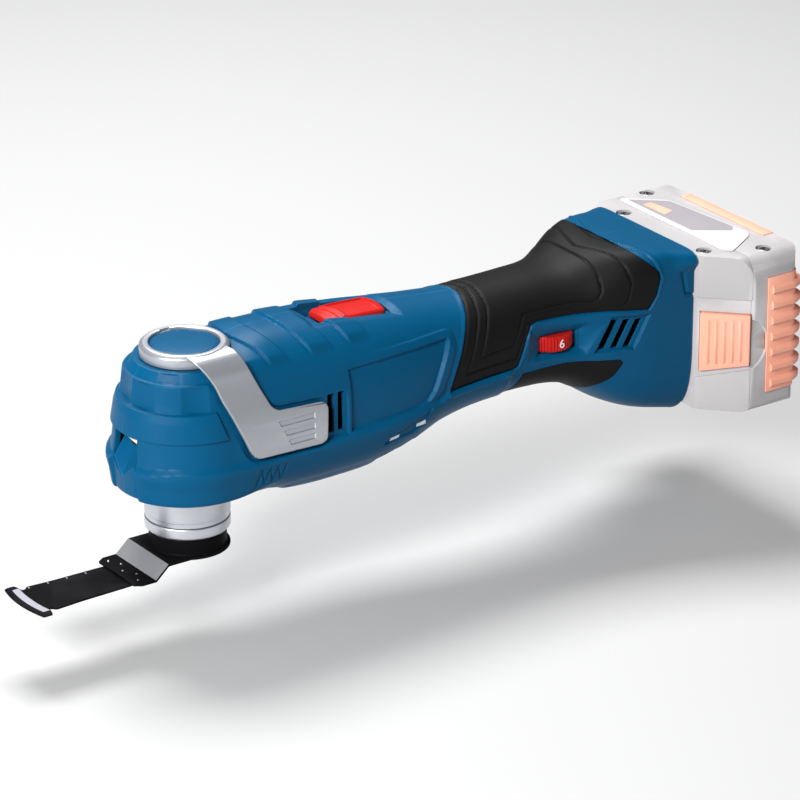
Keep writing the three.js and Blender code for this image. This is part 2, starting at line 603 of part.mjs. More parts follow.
// ---------- power switch ----------
const buttonSide = [
  [66.2, 77.4], [67, 78.9], [69.6, 79.9], [73.4, 80.4], [75, 80.9], [78, 80.6], [89, 80.2],
  [94, 79.7], [96, 78.9], [96.4, 77],
];
const button = prismY([...buttonSide, [96.4, 76.9], [66.2, 76.9]].reverse(), -8.7, 8.7);
const buttonTrim = prismX([
  [-8.7, 76], [8.7, 76], [8.7, 78.5], [7.6, 79.6], [0, 81.2], [-7.6, 79.6], [-8.7, 78.5]], 60, 100);
part('power_switch', union([button.intersect(buttonTrim), box(76, 84, -2.6, 2.6, 71.2, 77.4)]), RED);
part('switch_link', box(78, 112.4, -2.2, 2.2, 69, 70.9), BLACK);
part('micro_switch', union([box(113.2, 129, -5, 5, 60.5, 70.4), box(116, 126, -3, 3, 59, 61)]), DARK);

// ---------- speed dial ----------
const DIAL_R = 11;
const knurl = [];
for (let i = 0; i < 48; i += 1) {
  const a = (i * 2 * Math.PI) / 48;
  const r = i % 2 === 0 ? DIAL_R : DIAL_R - 0.6;
  knurl.push([DIAL[0] + r * Math.cos(a), DIAL[1] + r * Math.sin(a)]);
}
const dialStem = rodZ(2.4, 42.6, DIAL_Z[0] + 0.4, ...DIAL, 16);
part('speed_dial', union([prismZ(knurl, ...DIAL_Z), dialStem]), RED);

// ---------- electronics and battery interface ----------
// potted electronics with the board that carries the dial's potentiometer
part('control_module', union([
  box(132, 160, -16, 16, 38, 56), box(134, 158, -12, 12, 36, 39), box(159, 186, -18.5, 16, 38, 39.6),
  rodZ(5, 39, 42.2, ...DIAL, 16)]), DARK);
part('lamp_board', union([box(-24.2, -22.6, -9, 9, 36, 50), box(-25.4, -24, -2, 2, 40.5, 44.5)]), BOARD);
part('lamp_lens', prismZ([[-29.5, -9.2], [-26, -9.2], [-26, 9.2], [-29.5, 9.2]], 38.4, 46.6), CLEAR);
const railPlate = housingSolid(WALL + GAP, ROUGH_X, ROUGH_A, 4, BODY_END + 2)
  .intersect(box(237.5, 242.8, -50, 50, -10, 100));
const RAIL_Z = [17, 66];
const rails = RAIL_Z.map((z) => union([
  box(242, 247, -25, 25, z - 1.5, z + 1.5), box(247, 249.4, -25, 25, z - 4, z + 4)]));
part('rail_plate', cut(union([railPlate, ...rails]), [
  box(230, 250, -16.3, 16.3, 24.7, 56.3), rodY(BOSS_R + GAP, -50, 50, 230, 72, 12)]), DARK);
part('terminal_block', box(226, 243.2, -16, 16, 25, 56), DARK);
const BLADES_Z = [30, 35.5, 41, 46.5, 52];
part('terminal_blades', union([
  ...BLADES_Z.map((z) => box(243.5, 254, -9, 12, z - 0.4, z + 0.4)),
  box(243.5, 244.3, -4, 4, 29.8, 52.2)]), BRASS);
SCREWS.forEach(([x, z], i) => {
  const screw = union([rodY(SCREW_R, -11, 15, x, z, 6), rodY(HEAD_SCREW_R, 14.4, 17, x, z, 8)]);
  part(`housing_screw_${i + 1}`, screw, STEEL);
});

// ---------- battery pack ----------
// outline seen from above, with a slanted corner for the release button, moved in by a margin
function packPlan(inset, rear = inset) {
  const k = 0.41 * inset;
  return [
    [PACK_X0 + inset, SLANT_Y + k], [PACK_MID + k, PACK_NEAR + inset],
    [284 - k, PACK_NEAR + inset], [PACK_X1 - rear, -50 + k],
    [PACK_X1 - rear, 40 - k], [282.5 - k, PACK_FAR - inset],
    [264, PACK_FAR - inset], [247, 41 - inset], [PACK_X0 + inset, 36 - k],
  ];
}

// outline seen from the front: y against z, with a soft shoulder along the top of each end
function packSection(inset, nearShoulder, farShoulder) {
  const foot = 4 - inset;
  const corners = [
    [PACK_NEAR + inset, PACK_Z0 + inset, -1, -1, foot, foot, 180],
    [PACK_FAR - inset, PACK_Z0 + inset, 1, -1, foot, foot, 270],
    [PACK_FAR - inset, PACK_Z1 - inset, 1, 1, ...farShoulder, 0],
    [PACK_NEAR + inset, PACK_Z1 - inset, -1, 1, ...nearShoulder, 90],
  ];
  return corners.flatMap(([y, z, sy, sz, ry, rz, start]) => [0, 30, 60, 90].map((step) => {
    const a = ((start + step) * Math.PI) / 180;
    return [y - sy * ry + ry * Math.cos(a), z - sz * rz + rz * Math.sin(a)];
  }));
}

// points given along the slanted face and inwards from it
function onSlant(points) {
  return points.map(([along, inward]) => [
    PACK_X0 + (along + inward) * Math.SQRT1_2, SLANT_Y + (inward - along) * Math.SQRT1_2]);
}

function slantBlock(a0, a1, in0, in1, z0, z1) {
  return prismZ(onSlant([[a0, in0], [a1, in0], [a1, in1], [a0, in1]]), z0, z1);
}

const packBlock = prismX(packSection(0, [7, 11], [5, 8]), PACK_X0, PACK_X1)
  .intersect(prismZ(packPlan(0), 0, 90));
const BUTTON = { start: 1.2, end: 23.6, back: 3.4, proud: 0.6, bottom: 24, top: 52 };
const buttonRoom = slantBlock(
  BUTTON.start - GAP, BUTTON.end + GAP, -6, BUTTON.back + BUTTON_TRAVEL + GAP,
  BUTTON.bottom - GAP, BUTTON.top + GAP);
const springRoom = slantBlock(3, 13.5, BUTTON.back + 1, 8.9, 29.5, 45.5);
const thumbScoop = rodY(13, PACK_NEAR - 2, PACK_NEAR + 1.2, 257, 38, 28);
const coverWindow = box(PACK_X0 - 1, 256.7, -14, PACK_FAR + 2, 27.4, 54.6);
const railSlots = RAIL_Z.map((z) => union([
  box(PACK_X0 - 1, 247.6, -29, PACK_FAR + 2, z - 2, z + 2),
  box(246.6, 250, -29, PACK_FAR + 2, z - 4.5, z + 4.5),
]));
const PACK_SCREWS = [[249.6, -33], [249, 24], [273, -45.5], [273, 38]];
const PACK_HEAD_R = 3;        // head radius of the pack's screws
const packScrewHoles = PACK_SCREWS.map(([x, y]) => (
  rodZ(PACK_HEAD_R + 0.6, PACK_Z1 - 2, PACK_Z1 + 2, x, y, 10)));
const coverInside = box(256.6, PACK_MID + 2, -36, PACK_FAR - 3, PACK_Z0 + 3, PACK_Z1 - 4);
part('battery_cover', cut(packBlock.intersect(box(PACK_X0, PACK_MID - GAP, -90, 90, 0, 90)), [
  coverWindow, ...railSlots, buttonRoom, springRoom, coverInside, ...packScrewHoles]), PACK);

const tubInside = prismX(packSection(PACK_WALL, [5, 7], [4, 6]), PACK_MID - 2, PACK_X1)
  .intersect(prismZ(packPlan(PACK_WALL), 0, 90));
const BUMPER = { start: 269, bottom: 13.7, top: 68, sink: 1.1, proud: 0.6 };
const LIP = { y0: -34, y1: 25, x: 282, top: PACK_Z1 + 0.4, depth: 1.3 };
const bumperRoom = prismZ(packPlan(-8), BUMPER.bottom - GAP, BUMPER.top + GAP)
  .subtract(prismZ(packPlan(BUMPER.sink + GAP), 0, 90))
  .intersect(box(BUMPER.start - GAP, 310, -90, 90, 0, 90));
const lipRoom = union([
  box(PACK_X1 - BUMPER.sink - GAP, 310, LIP.y0 - GAP, LIP.y1 + GAP, 60, 90),
  box(LIP.x - GAP, 310, LIP.y0 - GAP, LIP.y1 + GAP, LIP.top - LIP.depth - GAP, 90),
]);
part('battery_tub', cut(packBlock.intersect(box(PACK_MID, 300, -90, 90, 0, 90)), [
  tubInside, bumperRoom, lipRoom, buttonRoom, thumbScoop, ...packScrewHoles]), PACK);

const bumperBase = prismZ(packPlan(-BUMPER.proud), BUMPER.bottom, BUMPER.top)
  .subtract(prismZ(packPlan(BUMPER.sink), 0, 90));
const bumperRibs = [0, 1, 2, 3, 4, 5, 6].map((i) => {
  const z = 16 + i * 7.4;
  return prismZ(packPlan(-2.1, -4), z, z + 4).subtract(prismZ(packPlan(0.8), 0, 90));
});
const bumperLip = union([
  box(PACK_X1 - BUMPER.sink, PACK_X1 + BUMPER.proud, LIP.y0, LIP.y1, BUMPER.top - 1, LIP.top),
  box(LIP.x, PACK_X1 + BUMPER.proud, LIP.y0, LIP.y1, LIP.top - LIP.depth, LIP.top),
]);
part('battery_bumper', union([bumperBase, ...bumperRibs, bumperLip])
  .intersect(box(BUMPER.start, 310, -90, 90, 0, 90)), SALMON);

const buttonPlate = slantBlock(
  BUTTON.start, BUTTON.end, -BUTTON.proud, BUTTON.back, BUTTON.bottom, BUTTON.top);
const buttonRibs = [0, 1, 2, 3, 4].map((i) => {
  const start = BUTTON.start + 3 + 3.6 * i;
  return slantBlock(start, start + 1.6, -BUTTON.proud - 0.8, 0, BUTTON.bottom + 3, BUTTON.top - 3);
});
part('release_button', union([buttonPlate, ...buttonRibs]), SALMON);
// leaf spring behind the button, drawn in its pressed shape
part('release_spring', prismZ(onSlant([
  [3.4, 8.6], [12, 8.6], [13.1, 7.4], [12, 6], [5, 6], [5, 6.6], [11.6, 6.6], [12.4, 7.4],
  [11.7, 8], [3.4, 8]]), 30, 45), STEEL);
part('battery_label', prismZ([
  [255.6, -38], [259, -42], [276.4, -31], [279, -27], [274.6, 23], [259, 37.5], [255.8, 37.5]],
PACK_Z1 + 0.1, PACK_Z1 + 0.5), PAPER);

const CELLS_Y = [-41.8, -23.4, -5, 13.4, 31.8];
const CELL_X = 274.8;
const CELL_Z = [8.4, 72.2];
part('battery_cells', union([
  ...CELLS_Y.map((y) => rodZ(9, CELL_Z[0], CELL_Z[1], CELL_X, y, 14)),
  box(CELL_X - 2.8, CELL_X + 2.8, CELLS_Y[0], CELLS_Y[4], CELL_Z[1] - 0.4, CELL_Z[1] + 0.4)]), STEEL);
part('battery_board', box(258.6, 260.4, -30, 40, 14, 70), BOARD);
const CLIP_Y = [-13, -10.4];
const clips = BLADES_Z.map((z) => union([
  box(246, 255.2, ...CLIP_Y, z - 1.6, z - 0.8),
  box(246, 255.2, ...CLIP_Y, z + 0.8, z + 1.6),
  box(254.4, 255.2, ...CLIP_Y, z - 1.6, z + 1.6),
]));
part('battery_clips', union([...clips, box(255, 256.2, ...CLIP_Y, 28, 54)]), BRASS);
PACK_SCREWS.forEach(([x, y], i) => {
  part(`battery_screw_${i + 1}`, rodZ(PACK_HEAD_R, PACK_Z1 - 1.7, PACK_Z1 - 0.4, x, y, 10), STEEL);
});

export default group;
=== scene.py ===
import math

import bmesh
import bpy
import numpy as np
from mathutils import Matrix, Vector


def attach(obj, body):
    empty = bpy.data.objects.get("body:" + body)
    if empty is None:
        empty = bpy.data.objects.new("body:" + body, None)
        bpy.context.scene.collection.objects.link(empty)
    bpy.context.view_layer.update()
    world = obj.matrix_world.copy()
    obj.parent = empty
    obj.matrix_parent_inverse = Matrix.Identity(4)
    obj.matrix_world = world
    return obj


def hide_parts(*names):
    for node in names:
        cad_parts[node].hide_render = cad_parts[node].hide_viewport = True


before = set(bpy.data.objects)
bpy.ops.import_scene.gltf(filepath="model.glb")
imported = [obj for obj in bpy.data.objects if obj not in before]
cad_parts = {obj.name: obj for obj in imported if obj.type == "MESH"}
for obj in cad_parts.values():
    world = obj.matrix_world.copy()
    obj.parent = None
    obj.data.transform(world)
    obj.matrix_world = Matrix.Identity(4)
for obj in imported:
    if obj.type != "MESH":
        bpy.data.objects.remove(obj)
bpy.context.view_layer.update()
MM = 0.001

# ---------- the housing surface, in millimetres ----------
BODY_END = 243.0
MID_Z = 46.0
HEAD_ARC = 48.7     # quarter turn of the head, measured at its widest
BLEND = (2, 34)     # x span over which the round head becomes the barrel
SEAM = 0.03         # half of the gap between the two shells
WALL = 2.6          # thickness of the shells
BISECTIONS = 34
# radius and height of the round head
HEAD = [
    (0, 78.4), (22, 78.2), (25.1, 73.4), (26.9, 65), (29.1, 58), (30.5, 49.2), (31, 44),
    (32.3, 34), (31.5, 29.3), (31, 22.4), (29, 21.4), (24, 19.4), (0, 18.4),
]
# x, top, bottom, half width, height of the widest point, upper and lower roundness
SECTIONS = np.array([
    (0, 84, 14.5, 32, 42, 2.5, 2.6), (22, 84.2, 13.2, 32, 42, 2.5, 2.5),
    (45, 84, 10, 31.6, 42, 2.45, 2.4), (62, 83.6, 9.4, 31.4, 42, 2.4, 2.35),
    (82, 81.8, 10.2, 31, 42, 2.35, 2.3), (99, 79.6, 13.8, 29.6, 44, 2.3, 2.3),
    (118, 77.3, 20.6, 26.8, 47, 2.25, 2.3), (140, 75.3, 24, 25.2, 49, 2.25, 2.3),
    (171, 75.3, 24.2, 25.4, 49, 2.25, 2.3), (187, 75.9, 22, 27.4, 48, 2.3, 2.4),
    (197, 78.6, 17, 29.8, 46, 2.8, 2.6), (208, 82.2, 10, 31.8, 43, 4.4, 2.9),
    (222, 82.6, 3.8, 33.6, 42, 8, 3.2), (BODY_END, 80.2, -1.7, 34.4, 42, 13, 3.4),
], float)


def smooth(a, b, v):
    """Soft step from 0 at a to 1 at b."""
    t = np.clip((v - a) / (b - a), 0, 1)
    return t * t * (3 - 2 * t)


def section(x):
    """Section values at x, on a smooth curve through the listed ones."""
    xs, values, last = SECTIONS[:, 0], SECTIONS[:, 1:], len(SECTIONS) - 1
    i = np.clip(np.searchsorted(xs, x) - 1, 0, last - 1)
    span = (xs[i + 1] - xs[i])[..., None]
    t = np.clip((np.asarray(x) - xs[i])[..., None] / span, 0, 1)
    p0, p1 = values[i], values[i + 1]
    before, after = np.maximum(i - 1, 0), np.minimum(i + 2, last)
    m0 = (p1 - values[before]) / (xs[i + 1] - xs[before])[..., None] * span
    m1 = (values[after] - p0) / (xs[after] - xs[i])[..., None] * span
    t2, t3 = t * t, t * t * t
    return (2 * t3 - 3 * t2 + 1) * p0 + (t3 - 2 * t2 + t) * m0 + (3 * t2 - 2 * t3) * p1 + (t3 - t2) * m1


def barrel_radius(x, psi):
    """Distance from the middle line to the barrel's skin, found by halving the interval."""
    top, bottom, width, mid, n_top, n_bottom = np.moveaxis(section(x), -1, 0)
    s, c = np.sin(psi), np.cos(psi)
    shape = np.broadcast(x, psi).shape
    low, high = np.zeros(shape), np.full(shape, 90.0)
    for _ in range(BISECTIONS):
        r = (low + high) / 2
        dz = MID_Z + r * c - mid
        up = dz > 0
        h = np.where(up, top - mid, mid - bottom)
        n = np.where(up, n_top, n_bottom)
        inside = (np.abs(r * s) / width) ** n + (np.abs(dz) / h) ** n < 1
        low, high = np.where(inside, r, low), np.where(inside, high, r)
    return low


def head_table(steps=24):
    """Angle from straight up and radius of the head's profile, in small steps."""
    pts = [(r0 + (r1 - r0) * k / steps, z0 + (z1 - z0) * k / steps)
           for (r0, z0), (r1, z1) in zip(HEAD, HEAD[1:]) for k in range(steps)]
    pts = np.array(pts + [HEAD[-1]], float)
    return np.arctan2(pts[:, 0], pts[:, 1] - MID_Z), np.hypot(pts[:, 0], pts[:, 1] - MID_Z)


HEAD_PSI, HEAD_RAD = head_table()


def surface(s, psi):
    """Points of the +Y half: s runs round the head below 0, then along X; psi starts at straight up."""
    x = np.maximum(s, 0)
    w = 1 - smooth(*BLEND, x)
    r = w * np.interp(psi, HEAD_PSI, HEAD_RAD) + (1 - w) * barrel_radius(x, psi)
    turn = np.clip(-s / HEAD_ARC, 0, 1) * math.pi / 2
    rho = r * np.sin(psi)
    return np.stack([x - rho * np.sin(turn), rho * np.cos(turn), MID_Z + r * np.cos(psi)], -1)


def normals(p):
    """Outward unit normals of a grid of points."""
    du, dv = np.gradient(p, axis=0), np.gradient(p, axis=1)
    n = np.cross(du, dv)
    length = np.linalg.norm(n, axis=-1, keepdims=True)
    n = n / np.maximum(length, 1e-9)
    away = p - np.array([0, 0, MID_Z])
    away[..., 0] = np.minimum(away[..., 0], 0)
    n *= np.where((n * away).sum(-1, keepdims=True) < 0, -1, 1)
    return n


TABLE_S = np.linspace(-HEAD_ARC, BODY_END, 293)
TABLE_PSI = np.linspace(0, math.pi, 241)
TABLE = surface(TABLE_S[:, None], TABLE_PSI[None, :])


def arc_lengths(p):
    """Distance along each row of a grid of points."""
    steps = np.linalg.norm(np.diff(p, axis=1), axis=-1)
    return np.concatenate([np.zeros((len(p), 1)), np.cumsum(steps, axis=1)], axis=1)


TABLE_ARC = arc_lengths(TABLE)


def row_at(s):
    """Row of the table nearest to s."""
    return int(np.argmin(np.abs(TABLE_S - s)))


def dense(points, step=4.0):
    """Open line with extra points along its straight runs."""
    out = [points[0]]
    for a, b in zip(points, points[1:]):
        count = max(int(math.ceil(math.dist(a, b) / step)), 1)
        for k in range(1, count + 1):
            out.append((a[0] + (b[0] - a[0]) * k / count, a[1] + (b[1] - a[1]) * k / count))
    return out


def on_side(points):
    """(s, z) pairs to (s, distance down the side from the top line)."""
    out = []
    for s, z in dense(points):
        i = row_at(s)
        out.append((s, float(np.interp(-z, -TABLE[i, :, 2], TABLE_ARC[i]))))
    return out


def on_top(points):
    """(x, |y|) pairs on the upper half to (s, distance down the side)."""
    out = []
    for s, y in dense(points):
        i = row_at(s)
        k = int(np.argmax(TABLE[i, :, 1]))
        out.append((s, float(np.interp(y, TABLE[i, :k, 1], TABLE_ARC[i, :k]))))
    return out


def distance(u, v, points, closed=True):
    """Signed distance to an outline, below 0 inside."""
    best = np.full(u.shape, 1e9)
    inside = np.zeros(u.shape, bool)
    pairs = list(zip(points, points[1:] + points[:1])) if closed else list(zip(points, points[1:]))
    for (au, av), (bu, bv) in pairs:
        eu, ev = bu - au, bv - av
        t = np.clip(((u - au) * eu + (v - av) * ev) / max(eu * eu + ev * ev, 1e-9), 0, 1)
        best = np.minimum(best, np.hypot(u - au - t * eu, v - av - t * ev))
        if closed:
            hit = ((av > v) != (bv > v)) & (u < (bu - au) * (v - av) / (bv - av + 1e-12) + au)
            inside ^= hit
    return np.where(inside, -best, best) if closed else best


def recess(sd, depth, width=0.9):
    """Sinks the inside of an outline, with a soft wall."""
    return -depth * smooth(0, width, -sd)


def groove(sd, depth, width):
    """Round-bottomed line along an outline."""
    return -depth * np.exp(-(sd / width) ** 2)


# ---------- outlines ----------
# s with |y| on the upper half, or s with z on the side; x and z where an outline cuts through
GRIP_FRAME = (
    [(139, -6)] + on_top([(138.6, 0.2), (135.9, 8.6), (132.4, 17.2)])
    + on_side([(127.6, 62.6), (121.3, 50.2), (117.4, 40.9), (152.9, 42.2), (154.8, 43.2), (159.7, 55.5),
               (162.8, 60.2), (166.4, 61), (181, 60.7), (200.3, 60.1), (219.4, 57.6), (223.4, 63.2),
               (225.6, 71), (224.6, 74)])
    + on_top([(215.8, 13.8), (213.2, 0.2)]) + [(213, -6)])
GRIP_INSET_1 = (
    [(142.6, -6)] + on_top([(142.6, 0.2), (140.3, 11.1), (137.9, 17.9)])
    + on_side([(134, 62.7), (126.2, 46.6), (153.4, 47.3), (160.3, 61.1), (163.6, 62), (205.6, 61.9),
               (208.9, 63.1), (211.3, 70.2), (211.1, 73)])
    + on_top([(208.5, 19.3), (204.2, 5.5), (203, 0.2)]) + [(203, -6)])
GRIP_INSET_2 = (
    [(146.4, -6)] + on_top([(146.4, 0.2), (145.1, 8.6), (143.9, 15.9), (141.7, 19.7)])
    + on_side([(134.2, 52.5), (151.9, 53.8), (159.7, 65), (161.4, 65.4), (194.7, 65.5), (197, 66.4),
               (198.6, 68.9)])
    + on_top([(199.4, 21.8), (199.2, 12.2), (198.8, 0.2)]) + [(198.8, -6)])
GRIP_SIDE = [
    (117.4, 40.9), (121.3, 50.2), (127.6, 62.6), (132.4, 70.1), (136, 74.4), (139, 79), (139, 95),
    (213, 95), (213.5, 85), (217, 81.5), (225, 74), (225.6, 71), (223.4, 63.2), (219.4, 57.6),
    (200.3, 60.1), (181, 60.7), (166.4, 61), (162.8, 60.2), (159.7, 55.5), (154.8, 43.2), (152.9, 42.2),
]
GRIP_BELLY = [
    (150, 18), (150, 25), (156, 30), (158.6, 38.2), (181, 38.9), (205.6, 36.4), (207.2, 34.6), (203.3, 28.4),
    (197.3, 22.8), (190, 14),
]
BELLY_PAD = [(80, 0), (80, 14), (84, 20.2), (94, 20.1), (104, 24), (104, 0)]
LABEL_PANEL = on_side([
    (63.4, 65.2), (118.1, 64.8), (118.8, 63.4), (109, 44), (105.2, 39.9), (100, 38.6), (63, 37.6)])
BADGE = on_side([(80, 26.4), (83, 30.5), (106.9, 38.1), (103, 31.2), (97, 28)])
LEVER_RECESS = on_side([
    (6, 52), (12, 38.2), (16, 37.4), (62, 37), (62, 59), (26, 60.6), (20, 72.6), (8, 73)])
LEDGE = [(-48.7, 36.2), (-34, 36.6), (-20, 38), (0, 37.4), (14, 36.2), (54, 36), (64, 36.8), (74, 36.6),
         (100, 37.6), (111, 38.4), (117, 41), (132, 41.3), (152, 41.6)]
DIAL_OUTER = on_side([(161.3, 59.6), (198.8, 55.2), (189.7, 41.2), (159.5, 43)])
DIAL_INNER = on_side([(167.6, 53.2), (187.4, 53.2), (187.4, 44.4), (167.6, 44.4)])
VENT_PANEL = on_side([(193, 41.2), (201.4, 57), (220.6, 55.4), (212.6, 40)])
LATCH = on_side([(237.2, 71), (239.4, 60.6), (244, 59.4)])
# clamp lever's strap: x, and distance down its tilted plane
STRAP = [
    (-9, 4), (-9, 7.3), (-6.5, 11.6), (-2.8, 19.9), (-0.6, 26.5), (6.1, 40.9), (11.1, 51), (13.3, 53.6),
    (15.8, 54.7), (47.1, 55.4), (49.6, 54), (50.3, 39.7), (47.9, 37.4), (26.4, 36.2), (24.4, 35.3),
    (22.4, 33.5), (18.8, 26.3), (15.9, 19.4), (13.5, 11), (12, 4),
]
DIAL_DEPTH = 3.4
DIAL = (177.4, -15.4)
DIAL_Z = 45.3
# distance out and height of the strap's outer face
STRAP_BEND = [
    (12, 83.8), (19, 83.4), (23.5, 80.8), (27.4, 75.5), (30.1, 67), (32.4, 57), (33.4, 46), (33.4, 28),
]
STRAP_THICK = 1.6
STRAP_GAP = 1.15    # between the strap and the flank under it
TILT = 0.342        # sine of the angle at which the strap is cut out, leaning off the flank
TILT_C = math.sqrt(1 - TILT * TILT)
ROOF_TOP = 84
RIBS = [(19.4, 30.0), (41.0, 53.3), (61.5, 74.0)]
NOSE_Y = 8.7
MOULDED_LINE = (0.5, 0.45)      # depth and width
UPPER_BAND, MIDDLE_BAND, LEDGE_STEP, LEDGE_SHRINK, RIB_RISE = 1.05, 1.2, 1.7, 0.9, 1.35
# first and last angle round the head, lowest and highest z
FACETS = [(100, 126, 61.8, 73.4), (126, 150, 74.2, 78.2), (150, 182, 61.8, 73.4)]
POCKET = (58, 98.2, -10.2, 10.2)


def shell_shape(s, p, arc, side):
    """Offset along the normal of the blue shell's moulded shapes."""
    x, y, z = p[..., 0], p[..., 1], p[..., 2]
    nose = smooth(-34, -38, s) * smooth(NOSE_Y + 0.9, NOSE_Y, y)
    d = np.zeros(z.shape)
    # bands stepped round the head
    upper = np.clip((z - 62.5) / 11, 0, 1) * smooth(73.9, 73.3, z) * UPPER_BAND
    d += upper * (1 - smooth(-3, 4, s))
    end = -2.7 + (61.5 - z) * 0.37
    middle = smooth(62.1, 61.2, z) * smooth(49.3, 49.8, z) * (1 - smooth(end - 0.4, end + 0.4, s))
    d += middle * MIDDLE_BAND
    # flat facets on the head
    angle = 90 + np.degrees(np.clip(-s / HEAD_ARC, 0, 1) * math.pi / 2)
    for a, b, z0, z1 in FACETS:
        mid, half = math.radians((a + b) / 2), math.radians((b - a) / 2)
        rho = np.hypot(x, y)
        flat = rho * (math.cos(half) / np.cos(np.radians(angle) - mid) - 1)
        across = smooth(a - 0.5, a + 0.5, angle) * smooth(b + 0.5, b - 0.5, angle)
        upright = smooth(z0, z0 + 0.8, z) * smooth(z1, z1 - 0.8, z)
        d += np.clip(1.6 * flat, -2.0, 0) * across * upright
    # ledge running round the head and down the flank, with a lit top face
    ledge = np.interp(s, [a for a, _ in LEDGE], [b for _, b in LEDGE])
    fade = smooth(153, 150, s) * (1 - nose)
    step = np.clip((ledge + 1.2 - z) / 2.4, 0, 1)
    shrink = LEDGE_SHRINK * np.clip((ledge - 2 - z) / 14, 0, 1)
    d += step * (LEDGE_STEP - shrink) * fade * smooth(15, 21, z)
    # overlapping bands across the top
    ends = smooth(73.0, 77.2, z)
    for a, b in RIBS:
        bend = 5.6 * (y / 20.8) ** 2
        q = s - bend
        ramp = smooth(a, a + 0.9, q) * smooth(b, b - 1.1, q)
        d += RIB_RISE * ramp * (0.55 + 0.45 * (b - q) / (b - a)) * ends * smooth(14, 17, s)
    # recesses in the flank
    label_sd = distance(s, arc, LABEL_PANEL)
    d += recess(label_sd, 1.35, 0.7) * smooth(ledge + 0.9, ledge + 1.6, z)
    frame_line = smooth(4.2, 3.4, label_sd) * smooth(-0.2, 0.2, label_sd)
    d += 0.5 * frame_line * smooth(66, 104, s) * smooth(ledge + 1, ledge + 4, z)
    d += recess(distance(s, arc, BADGE), 0.8, 0.6)
    outer, inner = distance(s, arc, DIAL_OUTER), distance(s, arc, DIAL_INNER)
    if side < 0:
        t = np.maximum(-outer, 0) / (np.maximum(-outer, 0) + np.maximum(inner, 0) + 1e-6)
        d -= DIAL_DEPTH * np.where(outer < 0, t, 0)
    else:
        d += recess(outer, 0.5, 0.9)
    d += recess(distance(s, arc, VENT_PANEL), 1.5, 0.7)
    # raised bead along the grip's edge
    sd = distance(s, arc, GRIP_FRAME)
    d += 0.4 * smooth(2.6, 0.9, sd) * smooth(-0.2, 0.6, sd) * (s > 100)
    d += groove(sd, *MOULDED_LINE)
    # small dent beside the label, step under the head, latch line, pocket rim
    d += -0.5 * np.exp(-(((s - 121.8) / 1.6) ** 2 + ((z - 63.2) / 2.6) ** 2))
    d += 0.8 * smooth(36.5, 38.5, s) * smooth(19, 15, z) * smooth(96, 78, s)
    if side < 0:
        d += groove(distance(s, arc, LATCH, closed=False), 1.1, 0.7)
    rim = np.maximum(np.abs(s - 77.8) - 19.8, y - POCKET[3])
    d += -1.5 * smooth(4.5, 0.3, rim) * smooth(74, 76, z)
    # zigzag mark low on the head
    zig = [(14.5 + 2.1 * k, 25.5 if k % 2 == 0 else 32.5) for k in range(8)]
    d += groove(distance(s, z, zig, closed=False), 0.7, 0.45)
    line = smooth(50, 49, z) * smooth(-30, -34, s)
    d += -0.7 * np.exp(-((y - NOSE_Y) / 0.4) ** 2) * line
    return d


def lever_room(s, p):
    """Pulls the near flank in under the clamp lever."""
    x, y, z = p[..., 0], p[..., 1], p[..., 2]
    under = np.interp(-z, [-b for _, b in STRAP_BEND], [a for a, _ in STRAP_BEND]) - STRAP_THICK - STRAP_GAP
    sd = distance(x, TILT_C * (ROOF_TOP - z) + TILT * y, STRAP)
    weight = smooth(1.9, 0.9, sd) * (y > 9) * (s > -24)
    y1 = y - weight * np.maximum(y - under, 0)
    flat = smooth(0, 1.0, -distance(s, arc_of(s, z), LEVER_RECESS))
    y1 = y1 - flat * np.maximum(y1 - 30.25, 0)
    p = p.copy()
    p[..., 1] = y1
    return p


def arc_of(s, z):
    """Distance down the side for points given by s and z."""
    last = len(TABLE_S) - 1
    i = np.clip(np.round((s + HEAD_ARC) / (BODY_END + HEAD_ARC) * last).astype(int), 0, last)
    out = np.zeros(z.shape)
    for k in np.unique(i):
        m = i == k
        out[m] = np.interp(-z[m], -TABLE[k, :, 2], TABLE_ARC[k])
    return out


def grip_shape(s, arc):
    """Offset along the normal of the upper grip: rounded rim and two stepped insets."""
    d = 0.3 - 0.7 * smooth(-1.5, 0, distance(s, arc, GRIP_FRAME))
    for inset in (GRIP_INSET_1, GRIP_INSET_2):
        sd = distance(s, arc, inset)
        d += groove(sd, *MOULDED_LINE) + 0.22 * smooth(0.2, -1.4, sd)
    return d


# ---------- meshes ----------
def mesh_object(name, verts, faces):
    me = bpy.data.meshes.new(name)
    me.from_pydata([tuple(v) for v in np.asarray(verts, float) * MM], [], faces)
    me.validate(clean_customdata=False)
    me.update()
    ob = bpy.data.objects.new(name, me)
    bpy.context.scene.collection.objects.link(ob)
    return ob


def grid_faces(rows, cols, base=0, flip=False):
    i = np.arange(rows - 1)[:, None] * cols + np.arange(cols - 1)[None, :] + base
    q = np.stack([i, i + 1, i + cols + 1, i + cols], -1).reshape(-1, 4)
    return q[:, ::-1] if flip else q


def rim_loop(rows, cols):
    """Indices round the edge of a grid."""
    top = list(range(cols))
    right = [r * cols + cols - 1 for r in range(1, rows)]
    bottom = [(rows - 1) * cols + c for c in range(cols - 2, -1, -1)]
    left = [r * cols for r in range(rows - 2, 0, -1)]
    return top + right + bottom + left


